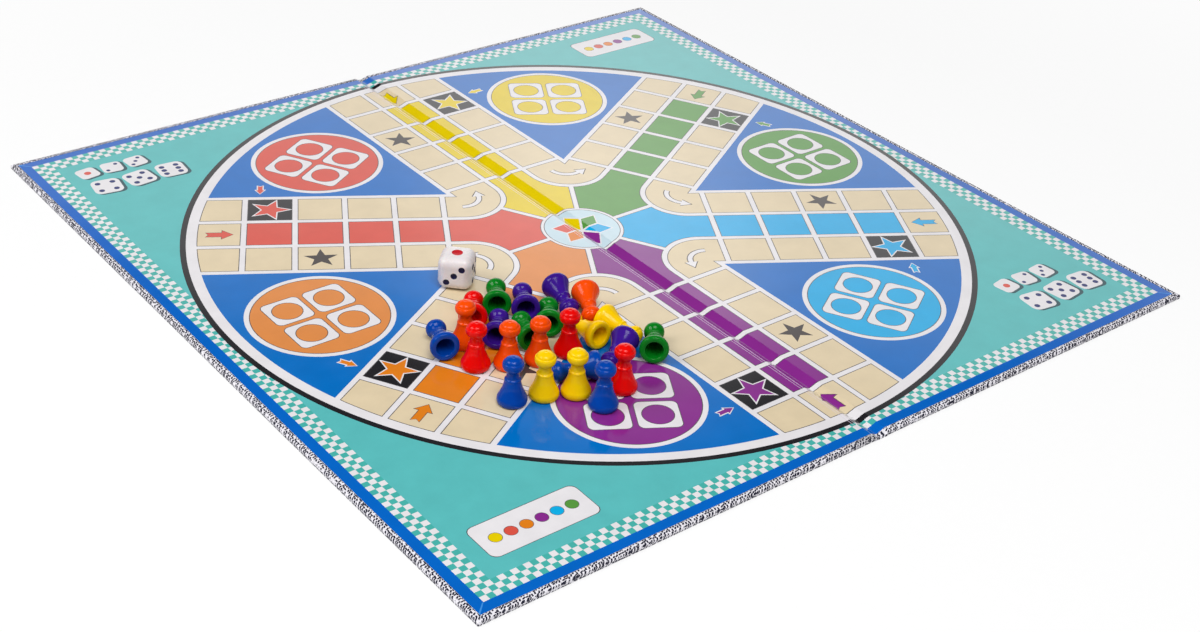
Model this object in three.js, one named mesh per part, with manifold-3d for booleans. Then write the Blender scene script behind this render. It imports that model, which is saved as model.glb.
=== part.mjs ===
// Six-player ludo board lying open, with its 24 pawns and its die.
// Two stiff leaves are joined by a paper spine, so the board folds shut like a book along Y.
// Millimetres. X runs across the fold, Y along it, Z up. The origin is under the board's centre.
import * as THREE from "three";
import { RoundedBoxGeometry } from "three/addons/geometries/RoundedBoxGeometry.js";
import { mergeVertices } from "three/addons/utils/BufferGeometryUtils.js";
import Module from "manifold-3d";

const wasm = await Module();
wasm.setup();

// Board
const BOARD_SIDE = 356;
const GREYBOARD_THICKNESS = 1.6;
const COVER_PAPER = 0.2;
const PRINT_PAPER = 0.2;
const TURN_IN_WIDTH = 14;
const EDGE_STRIP_WIDTH = 2.5;
const MITRE_GAP = 0.3;
const BOARD_HALF = BOARD_SIDE / 2;
const BOARD_THICKNESS = COVER_PAPER + GREYBOARD_THICKNESS + PRINT_PAPER;
const GREYBOARD_TOP = COVER_PAPER + GREYBOARD_THICKNESS;
const TURN_IN_FLOOR = GREYBOARD_TOP - COVER_PAPER;

// Fold
const GUTTER_WIDTH = 7.4;
const HINGE_SETBACK = 0.3;
const VALLEY_CLEARANCE = 0.05;
const VALLEY_OFFSET_SHARE = -0.095;
const SHOULDER_SHARE = 0.45;
const FLOOR_SHARE = 0.55;
const GUTTER_STEPS = 7;
const LEAF_EDGE = GUTTER_WIDTH / 2;
const HINGE_X = LEAF_EDGE - HINGE_SETBACK;

// Pawns: the outline goes from the top of the hollow, round the rim, up to the crown.
// Each point is a share of the base radius and a share of the height.
const PAWN_BASE_DIAMETER = 11.4;
const PAWN_HEIGHT = 19.2;
const PAWN_SIDES = 16;
const PAWN_RIM_SHARES = [1.0, 0.07];
const PAWN_HEAD_SHARES = [0.7, 0.84];
const PAWN_OUTLINE_SHARES = [
  [0, 0.58],
  [0.24, 0.54],
  [0.58, 0.1],
  [0.64, 0],
  [0.9, 0],
  PAWN_RIM_SHARES,
  [0.97, 0.13],
  [0.83, 0.22],
  [0.66, 0.33],
  [0.53, 0.49],
  [0.5, 0.545],
  [0.435, 0.57],
  [0.42, 0.69],
  [0.665, 0.775],
  PAWN_HEAD_SHARES,
  [0.62, 0.905],
  [0.4, 0.975],
  [0, 1],
];
const SEAT_CLEARANCE = 0.3;

// Die
const DIE_SIDE = 14;
const DIE_CORNER_RADIUS = 3.6;
const DIE_CORNER_STEPS = 3;
const DIE_TURN_DEGREES = 45;
const PIP_DIAMETER = 2.7;
const ACE_DIAMETER = 4.5;
const PIP_DEPTH = 0.5;
const PIP_PITCH = 3.1;
const PIP_SIDES = 10;
const PIP_WALL_SHARE = 0.72;
const PIP_FLOOR_SHARE = 0.55;
const CUT_OVERRUN = 0.4;

// Where the loose pieces lie: the pile's centre as shares of half the board's side.
const PILE_CENTRE_SHARES = [-0.393, -0.4];

// The pile spreads with the pawns that lie in it, and never closer than the standing ones need.
const LYING_HEIGHT_SHARE = 0.48;
const LYING_WIDTH_SHARE = 0.192;
const LYING_SPACE = PAWN_HEIGHT * LYING_HEIGHT_SHARE + PAWN_BASE_DIAMETER * LYING_WIDTH_SHARE;
const PILE_UNIT = Math.max(PAWN_BASE_DIAMETER, LYING_SPACE);

// The die lies one pawn's width beyond the far end of the pile.
const PILE_END_SHARES = [-0.0468, 3.8648];

// Each pawn's base centre from the pile's centre, in shares of the pile unit.
// A lying pawn also has the compass turn of its head, in degrees from X towards Y.
const PAWN_PLACES = {
  red: [
    { share: [-2.5, 0.79] },
    { share: [0.54, -0.22] },
    { share: [0.73, -2.86] },
    { share: [-1.37, 2.6], head: 54 },
  ],
  orange: [
    { share: [-1.56, 0.26] },
    { share: [-0.56, -0.07] },
    { share: [-2.04, 2.08] },
    { share: [2.94, 2.02], head: -118 },
  ],
  yellow: [
    { share: [-1.64, -1.79] },
    { share: [-0.7, -2.25] },
    { share: [1.56, -0.61], head: 92 },
    { share: [2.38, 0.36], head: -77 },
  ],
  green: [
    { share: [-0.2, 2.84], head: 56 },
    { share: [2.51, -2.29], head: 50 },
    { share: [-0.43, 0.46], head: 70 },
    { share: [0.55, 0.89], head: 54 },
  ],
  blue: [
    { share: [-2.68, -1.49] },
    { share: [-0.4, -3.29] },
    { share: [-3.14, 1.6], head: 69 },
    { share: [0.51, -1.94], head: 154 },
  ],
  purple: [
    { share: [2.3, 2.94], head: -105 },
    { share: [0.46, 2.07], head: 59 },
    { share: [-1.37, 1.24], head: 51 },
    { share: [2.28, -1.11], head: -150 },
  ],
};

const MERGE_DISTANCE = 1e-4;

const material = (colour, roughness) =>
  new THREE.MeshStandardMaterial({ color: colour, roughness, metalness: 0 });

const MATERIALS = {
  greyboard: material("#a69c8c", 0.95),
  cover: material("#d9dbe4", 0.7),
  print: material("#5cc3bc", 0.25),
  gutter: material("#e6d6b0", 0.25),
  die: material("#f1efee", 0.3),
};

const PAWN_COLOURS = {
  red: "#e3231b",
  orange: "#f2561d",
  yellow: "#f0cf08",
  green: "#0b7a1e",
  blue: "#0b4da2",
  purple: "#3b1e8f",
};

// A closed geometry as a solid that can be joined and cut.
function solidOf(geometry) {
  const bare = geometry.clone();
  bare.deleteAttribute("normal");
  bare.deleteAttribute("uv");
  const merged = mergeVertices(bare, MERGE_DISTANCE);
  return new wasm.Manifold(
    new wasm.Mesh({
      numProp: 3,
      vertProperties: merged.getAttribute("position").array,
      triVerts: new Uint32Array(merged.index.array),
    }),
  );
}

// A solid back as a geometry.
function geometryOf(solid) {
  const mesh = solid.getMesh();
  const geometry = new THREE.BufferGeometry();
  geometry.setAttribute("position", new THREE.BufferAttribute(mesh.vertProperties, 3));
  geometry.setIndex(new THREE.BufferAttribute(mesh.triVerts, 1));
  geometry.computeVertexNormals();
  return geometry;
}

const joined = (solids) => solids.reduce((whole, next) => whole.add(next));

function named(name, geometry, look) {
  const mesh = new THREE.Mesh(geometry, look);
  mesh.name = name;
  return mesh;
}

// A plate with an outline in plan, between two heights.
function plate(outline, bottom, top) {
  const shape = new THREE.Shape(outline.map(([x, y]) => new THREE.Vector2(x, y)));
  const geometry = new THREE.ExtrudeGeometry(shape, { depth: top - bottom, bevelEnabled: false });
  return geometry.translate(0, 0, bottom);
}

const rectangle = (x0, x1, y0, y1) => [
  [x0, y0],
  [x1, y0],
  [x1, y1],
  [x0, y1],
];

// The greyboard core of one leaf, pressed down along its three outer edges under the turned-in cover.
function greyboard(side) {
  const outer = BOARD_HALF - COVER_PAPER;
  const flush = BOARD_HALF - TURN_IN_WIDTH - MITRE_GAP;
  const edge = side * LEAF_EDGE;
  const base = plate(rectangle(edge, side * outer, -outer, outer), COVER_PAPER, TURN_IN_FLOOR);
  const field = plate(rectangle(edge, side * flush, -flush, flush), TURN_IN_FLOOR, GREYBOARD_TOP);
  return geometryOf(joined([solidOf(base), solidOf(field)]));
}

// The cover paper of one leaf: its back, three edge walls and three turn-ins that meet at mitres.
function coverWrap(side) {
  const edge = side * LEAF_EDGE;
  const hinge = side * HINGE_X;
  const rim = side * BOARD_HALF;
  const wall = BOARD_HALF - COVER_PAPER;
  const inner = BOARD_HALF - TURN_IN_WIDTH;
  const back = rectangle(hinge, rim, -BOARD_HALF, BOARD_HALF);
  const pieces = [
    plate(back, 0, COVER_PAPER),
    plate(rectangle(side * wall, rim, -BOARD_HALF, BOARD_HALF), 0, GREYBOARD_TOP),
  ];
  const outerTurnIn = [
    [rim, -BOARD_HALF + MITRE_GAP],
    [rim, BOARD_HALF - MITRE_GAP],
    [side * inner, inner - MITRE_GAP],
    [side * inner, -inner + MITRE_GAP],
  ];
  pieces.push(plate(outerTurnIn, TURN_IN_FLOOR, GREYBOARD_TOP));
  for (const end of [-1, 1]) {
    const face = end * BOARD_HALF;
    pieces.push(plate(rectangle(edge, rim, end * wall, face), 0, GREYBOARD_TOP));
    const endTurnIn = [
      [edge, face],
      [rim, face],
      [side * inner, end * inner],
      [edge, end * inner],
    ];
    pieces.push(plate(endTurnIn, TURN_IN_FLOOR, GREYBOARD_TOP));
  }
  return geometryOf(joined(pieces.map(solidOf)));
}

// The printed sheet on one leaf, which leaves a strip of the turned-in cover in view.
function printSheet(side) {
  const reach = BOARD_HALF - EDGE_STRIP_WIDTH;
  return plate(rectangle(side * LEAF_EDGE, side * reach, -reach, reach), GREYBOARD_TOP, BOARD_THICKNESS);
}

function leaf(name, side) {
  const group = new THREE.Group();
  group.add(named(name + "_greyboard", greyboard(side), MATERIALS.greyboard));
  group.add(named(name + "_cover_wrap", coverWrap(side), MATERIALS.cover));
  group.add(named(name + "_print_sheet", printSheet(side), MATERIALS.print));
  return group;
}

// The cover paper between the leaves, with its two ends folded back onto itself.
function spineCover() {
  const strip = plate(rectangle(-HINGE_X, HINGE_X, -BOARD_HALF, BOARD_HALF), 0, COVER_PAPER);
  const reach = HINGE_X - HINGE_SETBACK;
  const inner = BOARD_HALF - TURN_IN_WIDTH;
  const folds = [-1, 1].map((end) =>
    plate(rectangle(-reach, reach, end * inner, end * BOARD_HALF), COVER_PAPER, 2 * COVER_PAPER),
  );
  return geometryOf(joined([strip, ...folds].map(solidOf)));
}

// One face of the pressed gutter as a smooth valley from shoulder to shoulder.
function gutterCurve(shoulderHeight, valleyHeight) {
  const valley = GUTTER_WIDTH * VALLEY_OFFSET_SHARE;
  const slope = (from, to) => {
    const run = to.x - from.x;
    return new THREE.CubicBezierCurve(
      from,
      new THREE.Vector2(from.x + run * SHOULDER_SHARE, from.y),
      new THREE.Vector2(to.x - run * FLOOR_SHARE, to.y),
      to,
    );
  };
  const lowest = new THREE.Vector2(valley, valleyHeight);
  const down = slope(new THREE.Vector2(-LEAF_EDGE, shoulderHeight), lowest);
  const up = slope(new THREE.Vector2(LEAF_EDGE, shoulderHeight), lowest);
  const points = down.getPoints(GUTTER_STEPS);
  return points.concat(up.getPoints(GUTTER_STEPS).reverse().slice(1));
}

// The print pressed down into the fold.
function gutterPrint() {
  const valleyFloor = 2 * COVER_PAPER + VALLEY_CLEARANCE;
  const under = gutterCurve(GREYBOARD_TOP, valleyFloor);
  const over = gutterCurve(BOARD_THICKNESS, valleyFloor + PRINT_PAPER);
  const length = 2 * (BOARD_HALF - EDGE_STRIP_WIDTH);
  const section = new THREE.Shape(under.concat(over.reverse()));
  const geometry = new THREE.ExtrudeGeometry(section, { depth: length, bevelEnabled: false });
  return geometry.rotateX(Math.PI / 2).translate(0, length / 2, 0);
}

// A hollow pawn standing on its rim, with its axis on Z.
function pawnGeometry() {
  const radius = PAWN_BASE_DIAMETER / 2;
  const profile = PAWN_OUTLINE_SHARES.map(
    ([across, up]) => new THREE.Vector2(across * radius, up * PAWN_HEIGHT),
  );
  return new THREE.LatheGeometry(profile, PAWN_SIDES).rotateX(Math.PI / 2);
}

// How far a lying pawn's axis tips, and how high its base centre is, when rim and head both touch.
function lyingPose() {
  const radius = PAWN_BASE_DIAMETER / 2;
  const [rimAcross, rimUp] = PAWN_RIM_SHARES;
  const [headAcross, headUp] = PAWN_HEAD_SHARES;
  const drop = (rimAcross - headAcross) * radius;
  const run = (headUp - rimUp) * PAWN_HEIGHT;
  const tip = Math.atan2(drop, run);
  const rise = rimUp * PAWN_HEIGHT * Math.sin(tip) + rimAcross * radius * Math.cos(tip);
  return { tip, rise };
}

// A place in the pile, in plan.
function pilePlace([east, north]) {
  return {
    x: PILE_CENTRE_SHARES[0] * BOARD_HALF + east * PILE_UNIT,
    y: PILE_CENTRE_SHARES[1] * BOARD_HALF + north * PILE_UNIT,
  };
}

function placedPawn(name, geometry, look, place) {
  const pawn = named(name, geometry, look);
  const ground = BOARD_THICKNESS + SEAT_CLEARANCE;
  const { x, y } = pilePlace(place.share);
  pawn.position.set(x, y, ground);
  if (place.head !== undefined) {
    const { tip, rise } = lyingPose();
    pawn.rotation.set(0, Math.PI / 2 + tip, THREE.MathUtils.degToRad(place.head), "ZYX");
    pawn.position.z = ground + rise;
  }
  return pawn;
}

function pawns() {
  const group = new THREE.Group();
  const geometry = pawnGeometry();
  for (const [colour, places] of Object.entries(PAWN_PLACES)) {
    const look = material(PAWN_COLOURS[colour], 0.3);
    places.forEach((place, index) => {
      group.add(placedPawn("pawn_" + colour + "_" + (index + 1), geometry, look, place));
    });
  }
  return group;
}

// The cutter for one pip: a round dish whose mouth lies on the plane through its origin.
function pipCutter(diameter) {
  const radius = diameter / 2;
  const profile = [
    [0, -PIP_DEPTH],
    [radius * PIP_FLOOR_SHARE, -PIP_DEPTH * PIP_WALL_SHARE],
    [radius, 0],
    [radius, CUT_OVERRUN],
    [0, CUT_OVERRUN],
  ];
  const points = profile.map(([across, up]) => new THREE.Vector2(across, up));
  return new THREE.LatheGeometry(points, PIP_SIDES).rotateX(Math.PI / 2);
}

// The pips of one face in steps of the pip pitch, seen with the face towards the eye.
const PIP_STEPS = {
  1: [[0, 0]],
  2: [[-1, -1], [1, 1]],
  3: [[-1, -1], [0, 0], [1, 1]],
  4: [[-1, -1], [-1, 1], [1, -1], [1, 1]],
  5: [[-1, -1], [-1, 1], [0, 0], [1, -1], [1, 1]],
  6: [[-1, -1], [-1, 0], [-1, 1], [1, -1], [1, 0], [1, 1]],
};

// The turns that bring the top face's cutters to each face.
const FACE_TURNS = {
  1: [0, 0],
  6: [Math.PI, 0],
  3: [Math.PI / 2, 0],
  4: [Math.PI / 2, Math.PI],
  5: [Math.PI / 2, Math.PI / 2],
  2: [Math.PI / 2, -Math.PI / 2],
};

function dieGeometry() {
  const blank = new RoundedBoxGeometry(DIE_SIDE, DIE_SIDE, DIE_SIDE, DIE_CORNER_STEPS, DIE_CORNER_RADIUS);
  let solid = solidOf(blank);
  for (const [value, steps] of Object.entries(PIP_STEPS)) {
    const diameter = value === "1" ? ACE_DIAMETER : PIP_DIAMETER;
    const [lean, swing] = FACE_TURNS[value];
    for (const [across, up] of steps) {
      const cutter = pipCutter(diameter);
      cutter.translate(across * PIP_PITCH, up * PIP_PITCH, DIE_SIDE / 2);
      cutter.rotateX(lean).rotateZ(swing);
      solid = solid.subtract(solidOf(cutter));
    }
  }
  return geometryOf(solid);
}

function die() {
  const mesh = named("die", dieGeometry(), MATERIALS.die);
  const end = pilePlace(PILE_END_SHARES);
  const height = BOARD_THICKNESS + SEAT_CLEARANCE + DIE_SIDE / 2;
  mesh.position.set(end.x, end.y + PAWN_BASE_DIAMETER + DIE_SIDE / 2, height);
  mesh.rotation.z = -THREE.MathUtils.degToRad(DIE_TURN_DEGREES);
  return mesh;
}

const board = new THREE.Group();
board.add(leaf("left", -1));
board.add(leaf("right", 1));
board.add(named("spine_cover_strip", spineCover(), MATERIALS.cover));
board.add(named("gutter_print_strip", gutterPrint(), MATERIALS.gutter));
board.add(pawns());
board.add(die());

export default board;
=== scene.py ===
"""A six-player ludo board lying open, with its pawns in a pile and its die, dressed for rendering.

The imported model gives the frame: metres, X across the fold, Y along it, Z up, and the origin
under the middle of the board. Sizes in this file are in millimetres, and the studio's in metres.
"""

import logging
import math
from contextlib import contextmanager
from dataclasses import dataclass, field
from enum import Enum
from functools import partial
from typing import Iterable, Iterator, Sequence

import bmesh
import bpy
from mathutils import Euler, Matrix, Vector
from mathutils.geometry import delaunay_2d_cdt


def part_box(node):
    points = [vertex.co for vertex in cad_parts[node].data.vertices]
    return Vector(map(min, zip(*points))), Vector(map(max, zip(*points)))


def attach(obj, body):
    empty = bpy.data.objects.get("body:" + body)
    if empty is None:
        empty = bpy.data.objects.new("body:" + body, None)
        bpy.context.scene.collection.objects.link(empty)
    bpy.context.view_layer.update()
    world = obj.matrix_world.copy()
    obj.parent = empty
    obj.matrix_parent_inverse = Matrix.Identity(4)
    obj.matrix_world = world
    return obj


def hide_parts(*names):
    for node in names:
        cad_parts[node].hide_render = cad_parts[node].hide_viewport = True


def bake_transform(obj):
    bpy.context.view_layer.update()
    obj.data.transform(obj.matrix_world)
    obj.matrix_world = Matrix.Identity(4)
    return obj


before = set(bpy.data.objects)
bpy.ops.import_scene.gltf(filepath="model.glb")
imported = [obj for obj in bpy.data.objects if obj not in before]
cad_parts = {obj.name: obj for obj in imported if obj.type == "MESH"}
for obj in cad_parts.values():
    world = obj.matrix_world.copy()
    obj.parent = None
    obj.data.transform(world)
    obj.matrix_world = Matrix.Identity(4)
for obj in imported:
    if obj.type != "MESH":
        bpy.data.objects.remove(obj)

LOG = logging.getLogger("ludo_board")

MM = 0.001

Point = tuple[float, float]
Outline = list[Point]
Triple = tuple[float, float, float]
Colour = tuple[float, float, float, float]
Faces = list[list[int]]
Socket = bpy.types.NodeSocket
Feeds = dict[str | int, object]


# Shared measures


@dataclass(frozen=True)
class BoardSizes:
    """The sizes that the board's pieces share, in millimetres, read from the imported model."""

    half: float
    thickness: float
    print_half: float
    print_bottom: float
    leaf_edge: float
    hinge: float
    valley_x: float
    valley_top: float
    paper: float = 0.2
    turn_in: float = 14.0

    @classmethod
    def from_frame(cls) -> "BoardSizes":
        """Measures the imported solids.

        Returns:
            The sizes of the board as packed.
        """
        wrap_low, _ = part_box("left_cover_wrap")
        sheet_low, sheet_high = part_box("left_print_sheet")
        _, spine_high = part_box("spine_cover_strip")
        gutter_low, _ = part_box("gutter_print_strip")
        valley = min(
            (v.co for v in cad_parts["gutter_print_strip"].data.vertices),
            key=lambda co: co.z,
        )
        paper = (sheet_high.z - sheet_low.z) / MM
        return cls(
            half=-wrap_low.x / MM,
            thickness=sheet_high.z / MM,
            print_half=-sheet_low.x / MM,
            print_bottom=sheet_low.z / MM,
            leaf_edge=-sheet_high.x / MM,
            hinge=spine_high.x / MM,
            valley_x=valley.x / MM,
            valley_top=gutter_low.z / MM + paper,
            paper=paper,
        )


# Colours and nodes


def linear(hex_colour: str) -> Colour:
    """Turns an sRGB hex colour into linear light.

    Args:
        hex_colour: The colour as "#rrggbb".

    Returns:
        Linear red, green and blue, with alpha 1.
    """
    values = [int(hex_colour[i : i + 2], 16) / 255 for i in (1, 3, 5)]
    made = [v / 12.92 if v <= 0.04045 else ((v + 0.055) / 1.055) ** 2.4 for v in values]
    return (made[0], made[1], made[2], 1.0)


def add_node(
    tree: bpy.types.NodeTree, kind: str, feeds: Feeds | None = None, **settings: object
) -> bpy.types.Node:
    """Adds one node with its settings, values and links.

    By position, a Map Range node has its span at 1 and 2 and its levels at 3 and 4. A Mix node
    has its numbers at 2 and 3 and its colours at 6 and 7.

    Args:
        tree: The shader, world or geometry tree.
        kind: The node's type name.
        feeds: What goes into its inputs, by name or position: a value, an output socket, or a
            node that gives its first output in use.
        settings: Its properties.

    Returns:
        The new node.
    """
    node = tree.nodes.new(kind)
    for name, value in settings.items():
        setattr(node, name, value)
    for key, feed in (feeds or {}).items():
        if isinstance(feed, bpy.types.Node):
            feed = next(socket for socket in feed.outputs if socket.enabled)
        if isinstance(feed, Socket):
            tree.links.new(feed, node.inputs[key])
        else:
            node.inputs[key].default_value = feed
    return node


# Finishes


class Ink(Enum):
    """The inks of the printed sheet, in sRGB, with two paler tones that paint highlights on it."""

    BORDER_BLUE = "#0263C2"
    SECTOR_BLUE = "#006DC0"
    TEAL = "#5ABABA"
    CHECK_TEAL = "#47B0A8"
    WHITE = "#E6E3E6"
    BLACK = "#201F23"
    BEIGE = "#DFCDAB"
    LINE_GREY = "#4E4B4E"
    STAR_GREY = "#47403F"
    # Painted highlight: the pale tone of the two fine lines along the fold's shoulder.
    CREASE_HIGHLIGHT = "#DCCFE0"
    SKY = "#C6DCE6"
    SHADE = "#1E4F57"
    APRICOT = "#DE8B47"
    # Painted highlight: the paler blue of the slivers along the border's corner pleats.
    SHEEN_BLUE = "#3F8FDC"
    NAVY = "#1D2A6B"
    YELLOW = "#E2C800"
    RED = "#D85344"
    ORANGE = "#E07E18"
    PURPLE = "#86288A"
    LIGHT_BLUE = "#0AABE2"
    GREEN = "#57963F"


@dataclass(frozen=True)
class Grain:
    """An irregular pattern on Object coordinates, whose blobs have a real size."""

    size_mm: float
    detail: float = 3.0
    roughness: float = 0.55
    swing: Point = (0.3, 0.7)

    def pattern(
        self, tree: bpy.types.NodeTree, place: Socket | bpy.types.Node | None = None
    ) -> bpy.types.Node:
        """Adds the pattern.

        Args:
            tree: The material's tree.
            place: Where it is read, if not on plain Object coordinates.

        Returns:
            The node, whose value mostly keeps within the swing.
        """
        if place is None:
            place = add_node(tree, "ShaderNodeTexCoord").outputs["Object"]
        feeds = {"Vector": place, "Scale": 1 / (self.size_mm * MM)}
        feeds |= {"Detail": self.detail, "Roughness": self.roughness}
        return add_node(tree, "ShaderNodeTexNoise", feeds)

    def between(
        self, tree: bpy.types.NodeTree, levels: Point, pattern: bpy.types.Node | None = None
    ) -> bpy.types.Node:
        """Adds a value that goes from one level to another with the pattern's swing.

        Args:
            tree: The material's tree.
            levels: The two levels.
            pattern: The pattern, if the tree has it already.

        Returns:
            The node that gives the value.
        """
        value = self.pattern(tree) if pattern is None else pattern
        feeds = {"Value": value, 1: self.swing[0], 2: self.swing[1], 3: levels[0], 4: levels[1]}
        return add_node(tree, "ShaderNodeMapRange", feeds)


@dataclass(frozen=True)
class Finish:
    """A procedural material of one Principled shader."""

    name: str

    def shade(self, tree: bpy.types.NodeTree) -> Feeds:
        """Gives what goes into the shader, which each finish makes in its own way."""
        raise NotImplementedError

    def material(self) -> bpy.types.Material:
        """Builds the material.

        Returns:
            The material.
        """
        material = bpy.data.materials.new(self.name)
        material.use_nodes = True
        tree = material.node_tree
        tree.nodes.clear()
        shader = add_node(tree, "ShaderNodeBsdfPrincipled", self.shade(tree))
        add_node(tree, "ShaderNodeOutputMaterial", {"Surface": shader})
        return material


@dataclass(frozen=True)
class LaminatedPrint(Finish):
    """Offset-printed paper under a gloss film.

    The film gives one clear, slightly wavy reflection; the ink below is even, with faint
    mottling, and the glued board telegraphs through as a soft orange peel. Its colour is the
    attribute "ink".
    """

    name: str = "laminated_offset_print"
    roughness: float = 0.085
    ior: float = 1.5
    mottle: Grain = Grain(9.0, 5.0)
    mottle_levels: Point = (0.955, 1.03)
    gloss: Grain = Grain(14.0, 4.0)
    peel: Grain = Grain(1.3, 2.0)
    peel_depth_mm: float = 0.0035
    wave: Grain = Grain(26.0, 1.0)
    wave_depth_mm: float = 0.05
    rim_depth_mm: float = 0.25
    rim_span_mm: Point = (171.4, 175.5)
    lean_depth_mm: float = 3.0
    lean_span_mm: Point = (3.2, 175.0)

    def shade(self, tree: bpy.types.NodeTree) -> Feeds:
        """Feeds the ink's mottled colour, the film's uneven gloss and its four reliefs.

        Args:
            tree: The material's tree.

        Returns:
            The feeds of the shader.
        """
        ink = add_node(tree, "ShaderNodeAttribute", attribute_name="ink")
        mottled = {"Color": ink, "Value": self.mottle.between(tree, self.mottle_levels)}
        reliefs = (
            (self.peel.pattern(tree), self.peel_depth_mm),
            (self.wave.pattern(tree), self.wave_depth_mm),
            (self.lean(tree), self.lean_depth_mm),
            (self.rim(tree), self.rim_depth_mm),
        )
        gloss = (self.roughness * 0.8, self.roughness * 1.35)
        under: Feeds = {}
        for height, depth_mm in reliefs:
            relief = {"Height": height, "Distance": depth_mm * MM, **under}
            under = {"Normal": add_node(tree, "ShaderNodeBump", relief)}
        return {
            "IOR": self.ior,
            "Base Color": add_node(tree, "ShaderNodeHueSaturation", mottled),
            "Roughness": self.gloss.between(tree, gloss),
            **under,
        }

    def lean(self, tree: bpy.types.NodeTree) -> bpy.types.Node:
        """Adds the slight fall of the right leaf away from the fold, which its gloss shows.

        Args:
            tree: The material's tree.

        Returns:
            The height, 1 at the fold and 0 at the outer edge.
        """
        start, end = self.lean_span_mm
        place = add_node(tree, "ShaderNodeTexCoord").outputs["Object"]
        across = add_node(tree, "ShaderNodeSeparateXYZ", {"Vector": place}).outputs["X"]
        fall = {"Value": across, 1: start * MM, 2: end * MM, 3: 1.0, 4: 0.0}
        return add_node(tree, "ShaderNodeMapRange", fall)

    def rim(self, tree: bpy.types.NodeTree) -> bpy.types.Node:
        """Adds the height of the pressed rim, which falls toward the board's edges.

        Args:
            tree: The material's tree.

        Returns:
            The height, 1 on the board and 0 at its edges.
        """
        start, end = self.rim_span_mm
        place = add_node(tree, "ShaderNodeTexCoord").outputs["Object"]
        extent = add_node(tree, "ShaderNodeVectorMath", {0: place}, operation="ABSOLUTE")
        parts = add_node(tree, "ShaderNodeSeparateXYZ", {"Vector": extent}).outputs
        reach = add_node(
            tree, "ShaderNodeMath", {0: parts["X"], 1: parts["Y"]}, operation="MAXIMUM"
        )
        fall = {"Value": reach, 1: start * MM, 2: end * MM, 3: 1.0, 4: 0.0}
        return add_node(tree, "ShaderNodeMapRange", fall)


@dataclass(frozen=True)
class CoverPaper(Finish):
    """Uncoated white cover paper with a printed scatter of short dark dashes.

    It is matt and slightly rough; the dashes are over a millimetre long and lean one way.
    """

    name: str = "dashed_cover_paper"
    paper: str = "#E9E7EE"
    dash: str = "#0C0D2C"
    cell_mm: float = 1.2
    scatter: float = 0.6
    dash_length_mm: float = 1.4
    dash_width_mm: float = 0.64
    slant: Point = (-1.5, -0.1)
    fibres: Grain = Grain(0.35, 4.0)

    def shade(self, tree: bpy.types.NodeTree) -> Feeds:
        """Feeds the dashed paper and its fibres.

        Args:
            tree: The material's tree.

        Returns:
            The feeds of the shader.
        """
        inked = {0: self.dashes(tree), 6: linear(self.paper), 7: linear(self.dash)}
        relief = {"Height": self.fibres.pattern(tree), "Distance": 0.02 * MM, "Strength": 0.7}
        return {
            "Roughness": 0.62,
            "IOR": 1.45,
            "Base Color": add_node(tree, "ShaderNodeMix", inked, data_type="RGBA"),
            "Normal": add_node(tree, "ShaderNodeBump", relief),
        }

    def dashes(self, tree: bpy.types.NodeTree) -> bpy.types.Node:
        """Adds the dashes: one in each cell of a scatter, at a slant of its own.

        The scatter lies on the paper laid flat, so the height counts as distance along it.

        Args:
            tree: The material's tree.

        Returns:
            1 on a dash and 0 between dashes.
        """
        add = partial(add_node, tree)
        place = add("ShaderNodeTexCoord").outputs["Object"]
        height = add("ShaderNodeSeparateXYZ", {"Vector": place}).outputs["Z"]
        rise = add("ShaderNodeCombineXYZ", {"X": height, "Y": height, "Z": height})
        flat = add("ShaderNodeVectorMath", {0: place, 1: rise}, operation="SUBTRACT")
        scatter = {"Vector": flat, "Scale": 1 / (self.cell_mm * MM), "Randomness": self.scatter}
        cells = add(
            "ShaderNodeTexVoronoi", scatter, voronoi_dimensions="2D", feature="F1"
        ).outputs
        centre = cells["Position"]
        local = add("ShaderNodeVectorMath", {0: flat, 1: centre}, operation="SUBTRACT")
        chance = add("ShaderNodeSeparateColor", {"Color": cells["Color"]}).outputs["Red"]
        slant = {"Value": chance, 1: 0.0, 2: 1.0, 3: self.slant[0], 4: self.slant[1]}
        lean = {"Vector": local, "Angle": add("ShaderNodeMapRange", slant)}
        lying = add("ShaderNodeVectorRotate", lean, rotation_type="Z_AXIS")
        extent = add("ShaderNodeVectorMath", {0: lying}, operation="ABSOLUTE")
        parts = add("ShaderNodeSeparateXYZ", {"Vector": extent}).outputs
        masks: Feeds = {}
        for axis, width in enumerate((self.dash_length_mm, self.dash_width_mm)):
            edge = width / 2 * MM
            mask = {"Value": parts[axis], 1: edge * 0.85, 2: edge * 1.1, 3: 1.0, 4: 0.0}
            masks[axis] = add("ShaderNodeMapRange", mask)
        return add("ShaderNodeMath", masks, operation="MULTIPLY")


@dataclass(frozen=True)
class FibrousStock(Finish):
    """Bare fibrous stock: matt, with two tones of fibres that also stand out a little."""

    pale: str
    dark: str
    fibres: Grain
    roughness: float
    depth_mm: float
    strength: float
    layer_mm: float | None = None
    along_layers: float = 0.25

    def shade(self, tree: bpy.types.NodeTree) -> Feeds:
        """Feeds the fibres, drawn out along the stock's layers, in colour and in height.

        Args:
            tree: The material's tree.

        Returns:
            The feeds of the shader.
        """
        add = partial(add_node, tree)
        place = add("ShaderNodeTexCoord").outputs["Object"]
        if self.layer_mm is not None:
            fine = self.fibres.size_mm / self.layer_mm
            stretch = (self.along_layers, self.along_layers, fine)
            place = add("ShaderNodeMapping", {"Vector": place, "Scale": stretch})
        fibres = self.fibres.pattern(tree, place)
        share = self.fibres.between(tree, (0.0, 1.0), fibres)
        tones = {0: share, 6: linear(self.pale), 7: linear(self.dark)}
        relief = {"Height": fibres, "Distance": self.depth_mm * MM, "Strength": self.strength}
        return {
            "Roughness": self.roughness,
            "IOR": 1.45,
            "Base Color": add("ShaderNodeMix", tones, data_type="RGBA"),
            "Normal": add("ShaderNodeBump", relief),
        }


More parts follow.
